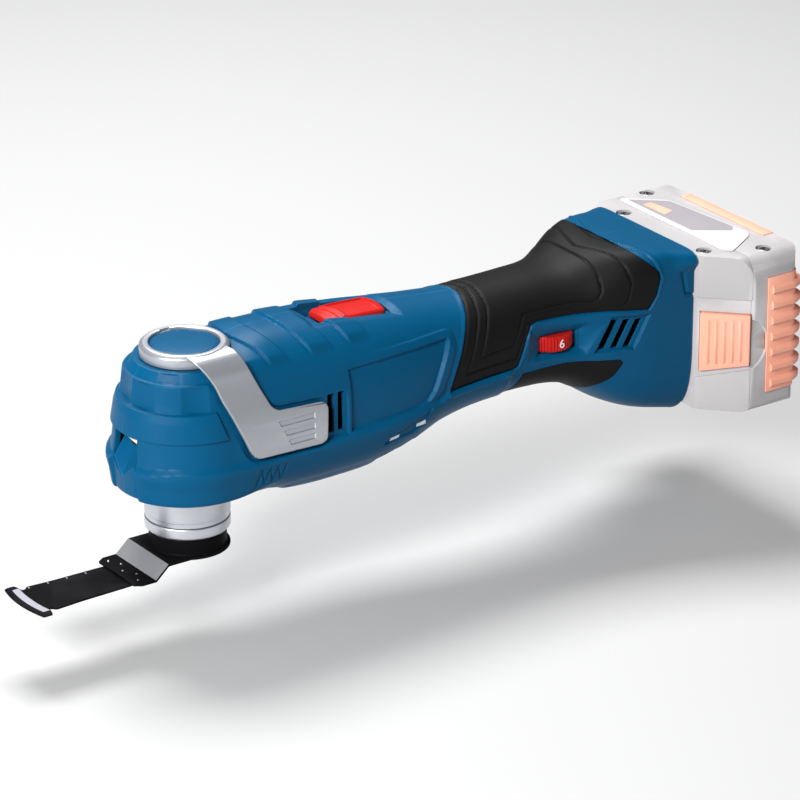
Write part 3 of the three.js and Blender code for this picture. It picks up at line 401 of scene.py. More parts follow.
def thick_grid(name, outer, inner, step):
    """Closed solid between a grid of points and an inner one with every step-th row and column of it."""
    rows, cols = outer.shape[:2]
    irows, icols = inner.shape[:2]
    base = rows * cols
    verts = np.concatenate([outer.reshape(-1, 3), inner.reshape(-1, 3)])
    faces = [tuple(f) for f in grid_faces(rows, cols).tolist()]
    faces += [tuple(f) for f in grid_faces(irows, icols, base, True).tolist()]
    a, b = rim_loop(rows, cols), rim_loop(irows, icols)
    count = len(b)
    for k in range(count):
        i0, i1 = b[k] + base, b[(k + 1) % count] + base
        span = [a[(k * step + j) % len(a)] for j in range(step + 1)]
        for j in range(step):
            faces.append((span[j + 1], span[j], i0))
        faces.append((span[step], i0, i1))
    ob = mesh_object(name, verts, faces)
    fix_normals(ob)
    return ob


def solid(name, rings):
    """Closed solid lofted through rings of points."""
    n = len(rings[0])
    verts = [p for ring in rings for p in ring]
    faces = []
    for i in range(len(rings) - 1):
        for k in range(n):
            faces.append((i * n + k, i * n + (k + 1) % n, (i + 1) * n + (k + 1) % n, (i + 1) * n + k))
    faces.append(tuple(range(n - 1, -1, -1)))
    faces.append(tuple((len(rings) - 1) * n + k for k in range(n)))
    ob = mesh_object(name, verts, faces)
    fix_normals(ob)
    return ob


def fix_normals(ob):
    bm = bmesh.new()
    bm.from_mesh(ob.data)
    bmesh.ops.recalc_face_normals(bm, faces=bm.faces)
    bm.to_mesh(ob.data)
    bm.free()


def prism(name, points, axis, lo, hi):
    """An outline pulled along an axis."""
    place = {
        "x": lambda u, v, w: (w, u, v),
        "y": lambda u, v, w: (u, w, v),
        "z": lambda u, v, w: (u, v, w),
    }[axis]
    return solid(name, [[place(u, v, w) for u, v in points] for w in (lo, hi)])


def box(name, x0, x1, y0, y1, z0, z1):
    return prism(name, [(x0, y0), (x1, y0), (x1, y1), (x0, y1)], "z", z0, z1)


def circle(r, n, cx=0.0, cy=0.0):
    angles = [2 * math.pi * k / n for k in range(n)]
    return [(cx + r * math.cos(a), cy + r * math.sin(a)) for a in angles]


def rounded(u0, u1, v0, v1, r, n):
    """Rectangle with rounded corners."""
    out = []
    corners = ((u1 - r, v0 + r, -90), (u1 - r, v1 - r, 0), (u0 + r, v1 - r, 90), (u0 + r, v0 + r, 180))
    for cu, cv, a0 in corners:
        for i in range(n + 1):
            a = math.radians(a0 + 90 * i / n)
            out.append((cu + r * math.cos(a), cv + r * math.sin(a)))
    return out


def soften(points, radius, n=4, closed=True):
    """Outline with its corners rounded; an open one keeps its two ends."""
    count = len(points)
    out = [] if closed else [points[0]]
    for i in range(count) if closed else range(1, count - 1):
        a, p, b = points[i - 1], points[i], points[(i + 1) % count]
        la, lb = math.dist(a, p), math.dist(b, p)
        r = min(radius, la * 0.45, lb * 0.45)
        pa = [p[j] + (a[j] - p[j]) * r / la for j in (0, 1)]
        pb = [p[j] + (b[j] - p[j]) * r / lb for j in (0, 1)]
        for k in range(n + 1):
            t = k / n
            out.append(tuple((1 - t) ** 2 * pa[j] + 2 * t * (1 - t) * p[j] + t * t * pb[j] for j in (0, 1)))
    return out if closed else out + [points[-1]]


def apply_modifiers(ob):
    dg = bpy.context.evaluated_depsgraph_get()
    me = bpy.data.meshes.new_from_object(ob.evaluated_get(dg))
    old = ob.data
    ob.modifiers.clear()
    ob.data = me
    bpy.data.meshes.remove(old)


def boolean(ob, cutters, operation="DIFFERENCE"):
    """Applies cutters one after another and removes them."""
    for c in cutters:
        m = ob.modifiers.new("cut", "BOOLEAN")
        m.operation, m.solver, m.object = operation, "MANIFOLD", c
        apply_modifiers(ob)
        me = c.data
        bpy.data.objects.remove(c)
        bpy.data.meshes.remove(me)
    return ob


def clean(ob, merge=0.06, angle=0.6):
    """Merges the slivers a boolean leaves and dissolves flat runs."""
    bm = bmesh.new()
    bm.from_mesh(ob.data)
    bmesh.ops.remove_doubles(bm, verts=bm.verts, dist=merge * MM)
    bmesh.ops.dissolve_limit(bm, angle_limit=math.radians(angle), verts=bm.verts, edges=bm.edges)
    bm.to_mesh(ob.data)
    bm.free()
    return ob


def edge_modifier(ob, width, segments, angle):
    """Bevel on every edge sharper than an angle in degrees."""
    m = ob.modifiers.new("edges", "BEVEL")
    m.width, m.segments, m.limit_method, m.angle_limit = width * MM, segments, "ANGLE", math.radians(angle)
    return m


def bevel(ob, width, segments, angle, clamp=True):
    """Rounds the sharp edges for good."""
    edge_modifier(ob, width, segments, angle).use_clamp_overlap = clamp
    apply_modifiers(ob)
    return ob


def smooth_shade(ob, angle=32):
    ob.data.polygons.foreach_set("use_smooth", [True] * len(ob.data.polygons))
    ob.data.set_sharp_from_angle(angle=math.radians(angle))
    return ob


def turned(name, profile, n=96, axis="z", at=(0, 0, 0), closed=False):
    """Lathed solid; the profile is (radius, height), starting and ending on the axis unless closed."""
    place = {
        "z": lambda c, s, h: (at[0] + c, at[1] + s, at[2] + h),
        "x": lambda c, s, h: (at[0] + h, at[1] + c, at[2] + s),
        "y": lambda c, s, h: (at[0] + s, at[1] + h, at[2] + c),
    }[axis]
    verts, faces, rows = [], [], []
    for r, h in profile:
        if r < 1e-6:
            rows.append([len(verts)])
            verts.append(place(0, 0, h))
        else:
            rows.append(list(range(len(verts), len(verts) + n)))
            verts += [place(u, v, h) for u, v in circle(r, n)]
    pairs = list(zip(rows, rows[1:])) + ([(rows[-1], rows[0])] if closed else [])
    for a, b in pairs:
        for k in range(n):
            k1 = (k + 1) % n
            if len(a) == 1:
                faces.append((a[0], b[k1], b[k]))
            elif len(b) == 1:
                faces.append((a[k], a[k1], b[0]))
            else:
                faces.append((a[k], a[k1], b[k1], b[k]))
    ob = mesh_object(name, verts, faces)
    fix_normals(ob)
    return ob


def turned_soft(name, profile, radius, n=96, axis="z", at=(0, 0, 0), closed=False):
    """Lathed solid with the profile's corners rounded."""
    return turned(name, soften(profile, radius, 3, closed), n, axis, at, closed)


# ---------- materials ----------
TONE_SPREAD = 2      # how far the light and dark tones lie from the colour, per unit of mottle
GLOSS_SPREAD = 0.08


def put(tree, node, values):
    """Sets a node's inputs: a socket is linked, anything else becomes the input's own value."""
    for key, value in values.items():
        if isinstance(value, bpy.types.NodeSocket):
            tree.links.new(value, node.inputs[key])
        else:
            node.inputs[key].default_value = value
    return node


def add_node(tree, kind, values, **settings):
    """New shader node with its settings and inputs."""
    node = tree.nodes.new("ShaderNode" + kind)
    for key, value in settings.items():
        setattr(node, key, value)
    return put(tree, node, values)


def edge_sheen_and_wear(tree, base, cloud, sheen_and_wear, sheen_and_wear_color):
    """Lighter tone along the edges, broken up by the cloudy noise: a painted edge highlight that also stands
    for rubbed wear.
    """
    geometry = add_node(tree, "NewGeometry", {})
    edge = add_node(tree, "MapRange", {
        "From Min": 0.53, "From Max": 0.62, "To Max": sheen_and_wear, "Value": geometry.outputs["Pointiness"]})
    patch = add_node(tree, "MapRange", {"From Min": 0.35, "From Max": 0.7, "Value": cloud})
    broken = add_node(tree, "Math", {
        0: edge.outputs["Result"], 1: patch.outputs["Result"]}, operation="MULTIPLY")
    return add_node(tree, "Mix", {
        "A": base, "B": [*sheen_and_wear_color, 1], "Factor": broken.outputs[0]}, data_type="RGBA").outputs["Result"]


def material(name, color, rough, metallic=0.0, grain=0.0, grain_scale=1600.0, mottle=0.06, sheen_and_wear=0.0,
             sheen_and_wear_color=None, coat=0.0, brushed=None, specular=0.5):
    """Cloudy, finely grained material with uneven gloss and, if asked for, lighter edges that are painted
    highlight and rubbed wear.
    """
    mat = bpy.data.materials.new(name)
    mat.use_nodes = True
    tree = mat.node_tree
    vector = add_node(tree, "TexCoord", {}).outputs["Object"]
    grain_vector = vector
    if brushed:
        grain_vector = add_node(tree, "Mapping", {"Scale": brushed, "Vector": vector}).outputs["Vector"]
    cloud = add_node(tree, "TexNoise", {"Scale": 45, "Detail": 4, "Vector": vector}).outputs["Fac"]
    fine = add_node(tree, "TexNoise", {
        "Scale": grain_scale, "Detail": 2, "Vector": grain_vector}).outputs["Fac"]
    half = add_node(tree, "Math", {0: cloud, 1: 0.55}, operation="MULTIPLY").outputs[0]
    mixed = add_node(tree, "Math", {0: fine, 1: 0.45, 2: half}, operation="MULTIPLY_ADD").outputs[0]
    dark = [c * (1 - mottle * TONE_SPREAD) for c in color]
    light = [min(c * (1 + mottle * TONE_SPREAD), 1) for c in color]
    base = add_node(tree, "Mix", {
        "A": [*dark, 1], "B": [*light, 1], "Factor": mixed}, data_type="RGBA").outputs["Result"]
    # lighter edges: painted edge highlight, partly rubbed wear
    if sheen_and_wear:
        base = edge_sheen_and_wear(tree, base, cloud, sheen_and_wear, sheen_and_wear_color or [min(c * 2.2 + 0.05, 1) for c in color])
    gloss = add_node(tree, "MapRange", {
        "To Min": rough - GLOSS_SPREAD, "To Max": rough + GLOSS_SPREAD, "Value": mixed})
    bsdf = put(tree, tree.nodes["Principled BSDF"], {
        "Metallic": metallic, "Specular IOR Level": specular, "Base Color": base,
        "Roughness": gloss.outputs["Result"]})
    if coat:
        put(tree, bsdf, {"Coat Weight": coat, "Coat Roughness": 0.25})
    if grain:
        bump = add_node(tree, "Bump", {"Strength": grain, "Distance": 0.0001, "Height": fine})
        put(tree, bsdf, {"Normal": bump.outputs["Normal"]})
    return mat


# the lighter edge tone in these materials is a painted highlight along the edges, partly rubbed wear
BLUE = material("blue_moulded", (0.0, 0.066, 0.153), 0.42, grain=0.3, grain_scale=2600, sheen_and_wear=0.6,
                sheen_and_wear_color=(0.03, 0.22, 0.40), specular=0.1)
BLACK = material("grip_rubber", (0.0055, 0.0055, 0.006), 0.55, grain=0.5, grain_scale=2200, mottle=0.12,
                 sheen_and_wear=0.4, sheen_and_wear_color=(0.05, 0.05, 0.055), specular=0.11)
DARK = material("dark_plastic", (0.008, 0.008, 0.009), 0.6, grain=0.35, grain_scale=2200, sheen_and_wear=0.3,
                specular=0.2)
RED = material("red_plastic", (0.44, 0.011, 0.009), 0.42, grain=0.3, grain_scale=2400, sheen_and_wear=0.4,
               sheen_and_wear_color=(0.85, 0.12, 0.08), specular=0.1)
SILVER = material("satin_silver", (0.40, 0.415, 0.445), 0.38, metallic=0.7, grain=0.22, grain_scale=2600,
                  sheen_and_wear=0.15, sheen_and_wear_color=(0.85, 0.86, 0.88))
TURNED = material("turned_silver", (0.58, 0.60, 0.64), 0.36, metallic=0.92, grain=0.25, grain_scale=900,
                  brushed=(0.15, 0.15, 3.0), sheen_and_wear=0.5, sheen_and_wear_color=(0.7, 0.71, 0.73))
STEEL = material("steel", (0.36, 0.37, 0.38), 0.32, metallic=1.0, grain=0.2, grain_scale=1400, sheen_and_wear=0.5,
                 sheen_and_wear_color=(0.7, 0.7, 0.72))
ALU = material("cast_aluminium", (0.42, 0.43, 0.44), 0.5, metallic=0.85, grain=0.6, grain_scale=1100,
               mottle=0.12)
BLADE = material("black_oxide_steel", (0.0035, 0.0035, 0.004), 0.5, grain=0.3, grain_scale=1800,
                 sheen_and_wear=0.12, sheen_and_wear_color=(0.10, 0.10, 0.11), specular=0.03)
TIP = material("printed_band", (0.30, 0.30, 0.34), 0.5, metallic=0.2, grain=0.4, grain_scale=1400,
               mottle=0.2, specular=0.3)
# lighter, slightly metallic grey for the upward faces of the carrier arm's bend, against the near-black
# flats
BEND = material("bend_grey_steel", (0.24, 0.245, 0.26), 0.42, metallic=0.4, grain=0.3, grain_scale=1500,
                brushed=(1.0, 0.2, 1.0), mottle=0.12)
COPPER = material("copper", (0.55, 0.19, 0.07), 0.38, metallic=0.95, grain=0.3, brushed=(1.0, 0.3, 0.3))
BRASS = material("brass", (0.6, 0.42, 0.16), 0.33, metallic=0.95, grain=0.2)
BOARD = material("circuit_board", (0.02, 0.10, 0.05), 0.45, grain=0.3, grain_scale=900, mottle=0.15)
LENS = material("clear_lens", (0.62, 0.55, 0.43), 0.16, grain=0.1, grain_scale=900, coat=0.5)
WHITE = material("white_print", (0.72, 0.76, 0.8), 0.5, grain=0.1)
PACK = material("pack_plastic", (0.40, 0.385, 0.39), 0.5, grain=0.35, grain_scale=2000, sheen_and_wear=0.5,
                sheen_and_wear_color=(0.62, 0.6, 0.62), specular=0.3)
SALMON = material("bumper_rubber", (0.84, 0.36, 0.25), 0.6, grain=0.5, grain_scale=1800, sheen_and_wear=0.4,
                  sheen_and_wear_color=(0.9, 0.55, 0.42), specular=0.3)
LABEL = material("label_plate", (0.55, 0.54, 0.56), 0.4, grain=0.12)
LABEL_DARK = material("label_panel", (0.30, 0.28, 0.30), 0.42, grain=0.12)
CELL = material("cell_sleeve", (0.08, 0.3, 0.32), 0.35, grain=0.15, mottle=0.1)


def finish_piece(ob, mat, body, replaces=(), angle=32):
    """Material, shading, and the body and CAD nodes the piece stands for."""
    ob.data.materials.clear()
    ob.data.materials.append(mat)
    smooth_shade(ob, angle)
    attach(ob, body)
    if replaces:
        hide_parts(*replaces)
    return ob


# ---------- the housing shells ----------
FINE = 1.0
COARSE_STEP = 3     # the inside of a wall has one point for every third outside
GRIP_GAP = 0.12     # between a soft grip's edge and its seat, on the shell's side
GRIP_SEAT = 1.8     # depth of that seat under the skin
NECK_HOLE, RING_HOLE, ROD_HOLE, WELL_R, WELL_FLOOR = 18.6, 19.6, 9, 3.3, 14
DIAL_WINDOW = (DIAL[0] - 9.6, DIAL[0] + 9.6, 44.6, 53.0)
SCREWS = [(25, 73), (25, 23), (112, 28.5), (190, 31.5), (230, 72), (230, 11)]


def spaced(*spans):
    """Values along spans of (from, to, step), their count brought to one that COARSE_STEP divides."""
    values = [spans[0][0]]
    for a, b, step in spans:
        count = max(int(round((b - a) / step)), 1)
        values += [a + (b - a) * (k + 1) / count for k in range(count)]
    return trim(values)


def trim(values):
    """Spreads values again, with a count of steps that COARSE_STEP divides."""
    count = (len(values) - 1) // COARSE_STEP * COARSE_STEP + 1
    return np.interp(np.linspace(0, len(values) - 1, count), np.arange(len(values)), values)


def loft_patch(s_values, psi_values):
    """Grid of surface points: s, the points, the distance down the side, and the normals."""
    s, psi = np.meshgrid(s_values, psi_values, indexing="ij")
    p = surface(s, psi)
    arc = arc_lengths(p)
    if psi_values[0] > 1e-6:
        for i, sv in enumerate(s_values):
            arc[i] += np.interp(psi_values[0], TABLE_PSI, TABLE_ARC[row_at(sv)])
    return s, p, arc, normals(p)


def mirrored(p, side):
    """The +Y half kept off the middle plane, on the side asked for."""
    q = p.copy()
    q[..., 1] = np.maximum(q[..., 1], SEAM) * side
    return q


def run_normal(a, b):
    """Unit vector at right angles to the run from a to b."""
    length = math.dist(a, b)
    return (b[1] - a[1]) / length, (a[0] - b[0]) / length


def offset_outline(points, grow):
    """Outline moved out by a distance, or in by a negative one."""
    following = points[1:] + points[:1]
    area = sum(p[0] * q[1] - q[0] * p[1] for p, q in zip(points, following))
    out = []
    for i, p in enumerate(points):
        n1, n2 = run_normal(points[i - 1], p), run_normal(p, following[i])
        k = math.copysign(1, area) * grow / (1 + n1[0] * n2[0] + n1[1] * n2[1])
        out.append((p[0] + (n1[0] + n2[0]) * k, p[1] + (n1[1] + n2[1]) * k))
    return out


def upright(points, lo=0, hi=90):
    """Cutter from an outline seen from above."""
    return prism("cut", points, "z", lo, hi)


def across(points, lo=-70, hi=70):
    """Cutter from an outline seen from the side."""
    return prism("cut", points, "y", lo, hi)


def vent_cutters():
    """Two tall slots in the lever's recess and three slanting ones at the rear."""
    slots = [[(a, 40), (b, 39.4), (b, 57.1), (a, 57.4)] for a, b in ((51.3, 54.8), (56.6, 59.8))]
    for dx in (0, 6, 12):
        low, high = 42.4 - dx / 12, 55.2 - dx / 8
        slots.append([(195.2 + dx, low), (199 + dx, low), (205.4 + dx, high), (201.6 + dx, high + 0.2)])
    return [across(soften(slot, 0.5, 2)) for slot in slots]


def screw_wells(screws, r):
    """Sunk round holes of the housing screws, open to the right side."""
    well = [(0, WELL_FLOOR), (r, WELL_FLOOR), (r, 60), (0, 60)]
    return [turned("cut", well, 32, "y", (x, 0, z)) for x, z in screws]


def trough(points, side):
    """What a soft grip sits in: the space outside a surface just under the skin, within an outline."""
    _, p, _, n = loft_patch(spaced((60, BODY_END, 2.4)), trim(np.linspace(0, math.pi, 61)))
    under, over = p - n * GRIP_SEAT, p + n * 8
    for q in (under, over):
        q[:, [0, -1], 1] = -4
        q[..., 1] *= side
    body = thick_grid("trough", over, under[::COARSE_STEP, ::COARSE_STEP], COARSE_STEP)
    return boolean(body, [across(offset_outline(points, GRIP_GAP))], "INTERSECT")


def shell_openings():
    """Neck, ring and clamp holes, the slide switch's pocket, and the lamp's mouth."""
    mouth = [(-8.2, 36.6), (0, 30), (8.2, 36.6), (8.2, 49), (-8.2, 49)]
    return [
        upright(circle(NECK_HOLE, 96), 8, 30), upright(circle(RING_HOLE, 96), 77.9, 95),
        upright(circle(ROD_HOLE, 48), 60, 80), upright(rounded(*POCKET, 2.2, 5), 76.6, 95),
        prism("cut", mouth, "x", -60, -22), *vent_cutters()]


def build_shell(grid, side):
    """One blue half of the housing; the near half has the lever's room, the dial and the latch line."""
    s, p, arc, n = grid
    outer = p + n * shell_shape(s, p, arc, side)[..., None]
    deep = np.zeros(s.shape)
    if side < 0:
        name, node = "shell_left", "housing_left"
        outer = lever_room(s, outer)
        deep = DIAL_DEPTH * smooth(4, 0, distance(s, arc, DIAL_OUTER))
        extra = [across(rounded(*DIAL_WINDOW, 0.8, 3), -60, -14)]
    else:
        name, node = "shell_right", "housing_right"
        extra = screw_wells(SCREWS, WELL_R)
    # the roof's rear corners reach out to points
    outer[..., 1] *= 1 + 0.1 * smooth(231, BODY_END, s) * smooth(70, 76.5, outer[..., 2])
    inner = (p - n * (WALL + deep)[..., None])[::COARSE_STEP, ::COARSE_STEP]
    inner[..., 2] = np.minimum(inner[..., 2], 80)
    ob = thick_grid(name, mirrored(outer, side), mirrored(inner, side), COARSE_STEP)
    boolean(ob, shell_openings() + extra)
    boolean(ob, [trough(points, side) for points in (GRIP_SIDE, GRIP_BELLY, BELLY_PAD)])
    return finish_piece(ob, BLUE, "tool_body", [node], 24)


SHELL_GRID = loft_patch(
    spaced((-HEAD_ARC, 14, 0.5 * FINE), (14, 128, 0.46 * FINE), (128, 158, 0.7 * FINE),
           (158, 224, 0.5 * FINE), (224, BODY_END, 0.6 * FINE)),
    trim(np.linspace(0, math.pi, int(214 / FINE))))
for side in (-1, 1):
    build_shell(SHELL_GRID, side)

# ---------- soft grips ----------
FLIP = np.array([1, -1, 1])
RUBBER_GAP = 0.14   # the same on the rubber's side
RUBBER_BACK = 1.55


def build_grip():
    """Upper grip wrapped over both halves."""
    s, p, arc, n = loft_patch(spaced((112, 228, 0.46 * FINE)), trim(np.linspace(0, 1.95, int(180 / FINE))))
    layers = [p + n * grip_shape(s, arc)[..., None], p - n * RUBBER_BACK]
    outer, inner = [np.concatenate([(layer * FLIP)[:, :0:-1], layer], axis=1) for layer in layers]
    ob = thick_grid("grip_pad", outer, inner[::COARSE_STEP, ::COARSE_STEP], COARSE_STEP)
    boolean(ob, [across(offset_outline(GRIP_SIDE, -RUBBER_GAP))], "INTERSECT")
    boolean(ob, screw_wells(SCREWS[4:5], WELL_R + 0.5))
    return finish_piece(ob, BLACK, "tool_body", ["grip_left", "grip_right"], 30)


def build_under(name, points, s_span, node):
    """Rubber patch across the underside, both halves in one piece."""
    half = trim(np.linspace(1.2, math.pi, int(110 / FINE)))
    _, p, _, n = loft_patch(spaced((*s_span, 0.7 * FINE)), half)
    layers = [p + n * 0.12, p - n * 1.5]
    outer, inner = [np.concatenate([layer, (layer * FLIP)[:, -2::-1]], axis=1) for layer in layers]
    ob = thick_grid(name, outer, inner[::COARSE_STEP, ::COARSE_STEP], COARSE_STEP)
    boolean(ob, [across(soften(offset_outline(points, -RUBBER_GAP), 1.2))], "INTERSECT")
    return finish_piece(ob, BLACK, "tool_body", [node], 30)


build_grip()
build_under("grip_under", GRIP_BELLY, (146, 212), "grip_belly")
build_under("belly_patch", BELLY_PAD, (76, 108), "belly_pad")

# ---------- clamp lever ----------
ring = turned_soft("lever_ring", [
    (15, 81.2), (15, 84), (17.4, 84.2), (19, 82.9), (19, 78.3), (12, 78.3), (12, 80.2), (6, 80.2),
    (6, 78.3), (3, 78.3), (3, 81.2)], 0.6, 128, closed=True)
boolean(ring, [box("notch", -2.4, 2.4, y, y + 1.9, 82.8, 86) for y in (14, -15.9)])
finish_piece(ring, SILVER, "lever")


def smooth_line(points, steps=6):
    """Smooth curve through points, as vectors."""
    pts = [Vector(p) for p in points]
    line = []
    for i in range(len(pts) - 1):
        p0, p1, p2, p3 = pts[max(i - 1, 0)], pts[i], pts[i + 1], pts[min(i + 2, len(pts) - 1)]
        for k in range(steps):
            t = k / steps
            line.append(0.5 * ((2 * p1) + (p2 - p0) * t + (2 * p0 - 5 * p1 + 4 * p2 - p3) * t * t
                               + (3 * p1 - p0 - 3 * p2 + p3) * t ** 3))
    return line + [pts[-1]]


LEVER_LINE = smooth_line(STRAP_BEND)


def lever_sheet():
    """Bent sheet the strap is cut from."""
    inner = []
    for i, p in enumerate(LEVER_LINE):
        a, b = LEVER_LINE[max(i - 1, 0)], LEVER_LINE[min(i + 1, len(LEVER_LINE) - 1)]
        d = (b - a).normalized()
        inner.append((-p.x - d.y * STRAP_THICK, p.y - d.x * STRAP_THICK))
    return prism("lever_strap", [(-p.x, p.y) for p in LEVER_LINE] + inner[::-1], "x", -20, 60)


def along_strap(points, near, far):
    """Cutter from an outline in strap coordinates: x, and distance down the tilted plane."""
    return solid("cut", [
        [(u, TILT_C * w - TILT * v, ROOF_TOP - TILT_C * v - TILT * w) for u, v in points]
        for w in (near, far)])


def pad_y(z):
    """Outer face of the strap at a height."""
    return -float(np.interp(-z, [-p.y for p in LEVER_LINE], [p.x for p in LEVER_LINE]))


def pad_recess(x_low, x_high, z):
    """Shallow sunk bar in the lever's pad, with a slanting front end and sloping walls."""
    bar = [(x_high, z), (PAD_END, z), (PAD_END, z - PAD_BAR), (x_low, z - PAD_BAR)]
    rings = []
    for grow, depth in ((0.5, -0.3), (0.2, 0.0), (-0.2, 0.5)):
        rings.append([(x, pad_y(h) + depth, h) for x, h in soften(offset_outline(bar, grow), 0.4, 3)])
    return solid("cut", rings)


PAD_END, PAD_BAR = 43.2, 2.4
strap = lever_sheet()
boolean(strap, [along_strap(soften(STRAP, 2.2, 5), -55, 5)], "INTERSECT")
boolean(strap, [upright(circle(15.6, 96), 70, 95)])
clean(strap)
bevel(strap, 0.6, 3, 40, clamp=False)
boolean(strap, [pad_recess(26.4, 25.2, 52.3), pad_recess(28.9, 27.7, 47.7), pad_recess(31.0, 29.8, 43.1)])
finish_piece(strap, SILVER, "lever", ["clamp_lever"], 12)
strap.modifiers.new("even", "WEIGHTED_NORMAL").keep_sharp = True

cap = turned_soft("ring_cap", [
    (0, 81.7), (14.7, 81.7), (14.7, 83.0), (13.2, 83.6), (9, 84.05), (4, 84.25), (0, 84.3)], 0.5)
finish_piece(cap, BLUE, "lever", ["lever_cap"])

# ---------- neck, tool holder, accessory ----------
neck = turned_soft("neck", [
    (16.4, 5.55), (17.9, 5.55), (18.1, 5.75), (18.1, 7.7), (18.3, 7.9), (18.3, 22), (16.4, 22)],
    0.35, 128, closed=True)
finish_piece(neck, TURNED, "tool_body", ["neck_collar"])
holder = turned_soft("holder_ring", [
    (15.5, 0), (17.5, 0), (18.3, 0.9), (18.3, 4.9), (18.05, 5.2), (16, 5.3), (15.8, 12), (6.9, 12),
    (6.9, 7.4), (12.3, 7.4), (15, 2)], 0.3, 128, closed=True)
finish_piece(holder, TURNED, "spindle", ["tool_holder"])


def star_cup(points=12, steps=12):
    """Black cup of the accessory with its star-shaped socket."""
    # radius, height, how far the star reaches in
    profile = [
        (18, -8.7, 0), (18.1, -8.2, 0), (18, -7.6, 0), (16.9, -7.3, 0), (16.6, -6.9, 0), (16.6, -1.0, 0),
        (16.2, -0.5, 0), (14.9, -0.4, 0.1), (13.0, 2.6, 0.9), (11.6, 4.9, 1), (11.0, 5.0, 1), (6.6, 5.0, 0),
        (6.5, 4.4, 0), (6.5, 3.6, 0), (10.6, 3.5, 1), (11.6, 2.2, 1), (13.8, -1.8, 0.4), (14.6, -4, 0),
        (15.4, -8.7, 0)]
    n, m = points * steps, len(profile)
    verts = []
    for r, z, lobe in profile:
        for k in range(n):
            a = 2 * math.pi * k / n
            rr = r - lobe * 0.55 * (1 - math.cos(points * a))
            verts.append((rr * math.cos(a), rr * math.sin(a), z))
    faces = []
    for i in range(m):
        this, following = i * n, (i + 1) % m * n
        faces += [(this + k, this + (k + 1) % n, following + (k + 1) % n, following + k) for k in range(n)]
    ob = mesh_object("socket_cup", verts, faces)
    fix_normals(ob)
    return ob


finish_piece(star_cup(), BLADE, "accessory")
ARM_HALF = 16
arm = prism("carrier_arm", [
    (-6, -7.6), (-20, -7.6), (-26.2, -13.2), (-36, -13.2), (-36, -14.3), (-25.8, -14.3), (-19.6, -8.7),
    (-6, -8.7)],
    "y", -ARM_HALF, ARM_HALF)
boolean(arm, [upright(circle(16.8, 96), -20, 5)])
for side in (-1, 1):
    corner = [(-38, side * 18), (-38, side * 12.5), (-31, side * 17.2), (-31, side * 18)]
    boolean(arm, [upright(corner[::side], -16, -12)])
bevel(arm, 0.3, 2, 25)
finish_piece(arm, BLADE, "accessory", ["blade_carrier"], 30)
# the upward faces at the arm's bend get the lighter grey
arm.data.materials.append(BEND)
for poly in arm.data.polygons:
    c = poly.center / MM
    if -26.4 < c.x < -19.4 and poly.normal.z > 0.3:
        poly.material_index = 1
for i, (x, y) in enumerate(((-32.7, 11.5), (-29.8, 6), (-32.7, 0), (-29.6, -6), (-32.3, -11.5))):
    dot = turned(f"weld_{i + 1}", [(0, -13.4), (0.55, -13.3), (0.5, -13.05), (0.25, -12.92), (0, -12.9)],
                 16, "z", (x, y, 0))
    finish_piece(dot, STEEL, "accessory", angle=50)

TEETH = 26
TOOTH_DEPTH = 0.95
TIP_REACH = -83.4
TIP_HALF = 15.8
STRIP_Z = -14.6     # the strip's top face
PRINT_SUNK = 0.02   # how deep the thin prints reach into it


def tip_arc(start, y):
    """Curved line across the strip's tip."""
    return start + 2.2 * (y / TIP_HALF) ** 2


def strip_outline():
    """Saw strip seen from above: nearly parallel sides, a waist, and the toothed tip."""
    half = [(-27, 10.5), (-37, 11), (-60, 11.5), (-71.2, 12.3), (-72.6, 12.2), (-73.8, 10.9), (-74.8, 10.5),
            (-75.6, 11.0), (-76.0, 13.8), (-76.6, 15.7), (-77.8, 15.9)]
    tip = []
    for i in range(TEETH * 2 + 1):
        y = TIP_HALF - TIP_HALF * i / TEETH
        tip.append((tip_arc(TIP_REACH, y) + (TOOTH_DEPTH if i % 2 == 0 else 0), y))
    return half + tip + [(x, -y) for x, y in reversed(half)]


strip = prism("plunge_strip", strip_outline(), "z", -15.5, STRIP_Z)
finish_piece(strip, BLADE, "accessory", ["saw_strip"], 30)
band_front = [(tip_arc(-80.6, y), y) for y in np.linspace(-12.6, 12.6, 17)]
band_back = [(x + 3.4 - abs(y) / 60, y) for x, y in band_front]
band = prism("tip_band", band_front + band_back[::-1], "z", STRIP_Z - PRINT_SUNK, STRIP_Z + 0.1)
finish_piece(band, TIP, "accessory", angle=30)
for i in range(4):
    x, y = -45.4 - 9.0 * i, 8.9 + 0.42 * i
    tick = box(f"depth_tick_{i + 1}", x, x + 0.4, y, y + 1.4, STRIP_Z - PRINT_SUNK, STRIP_Z + 0.06)
    finish_piece(tick, TIP, "accessory", angle=30)


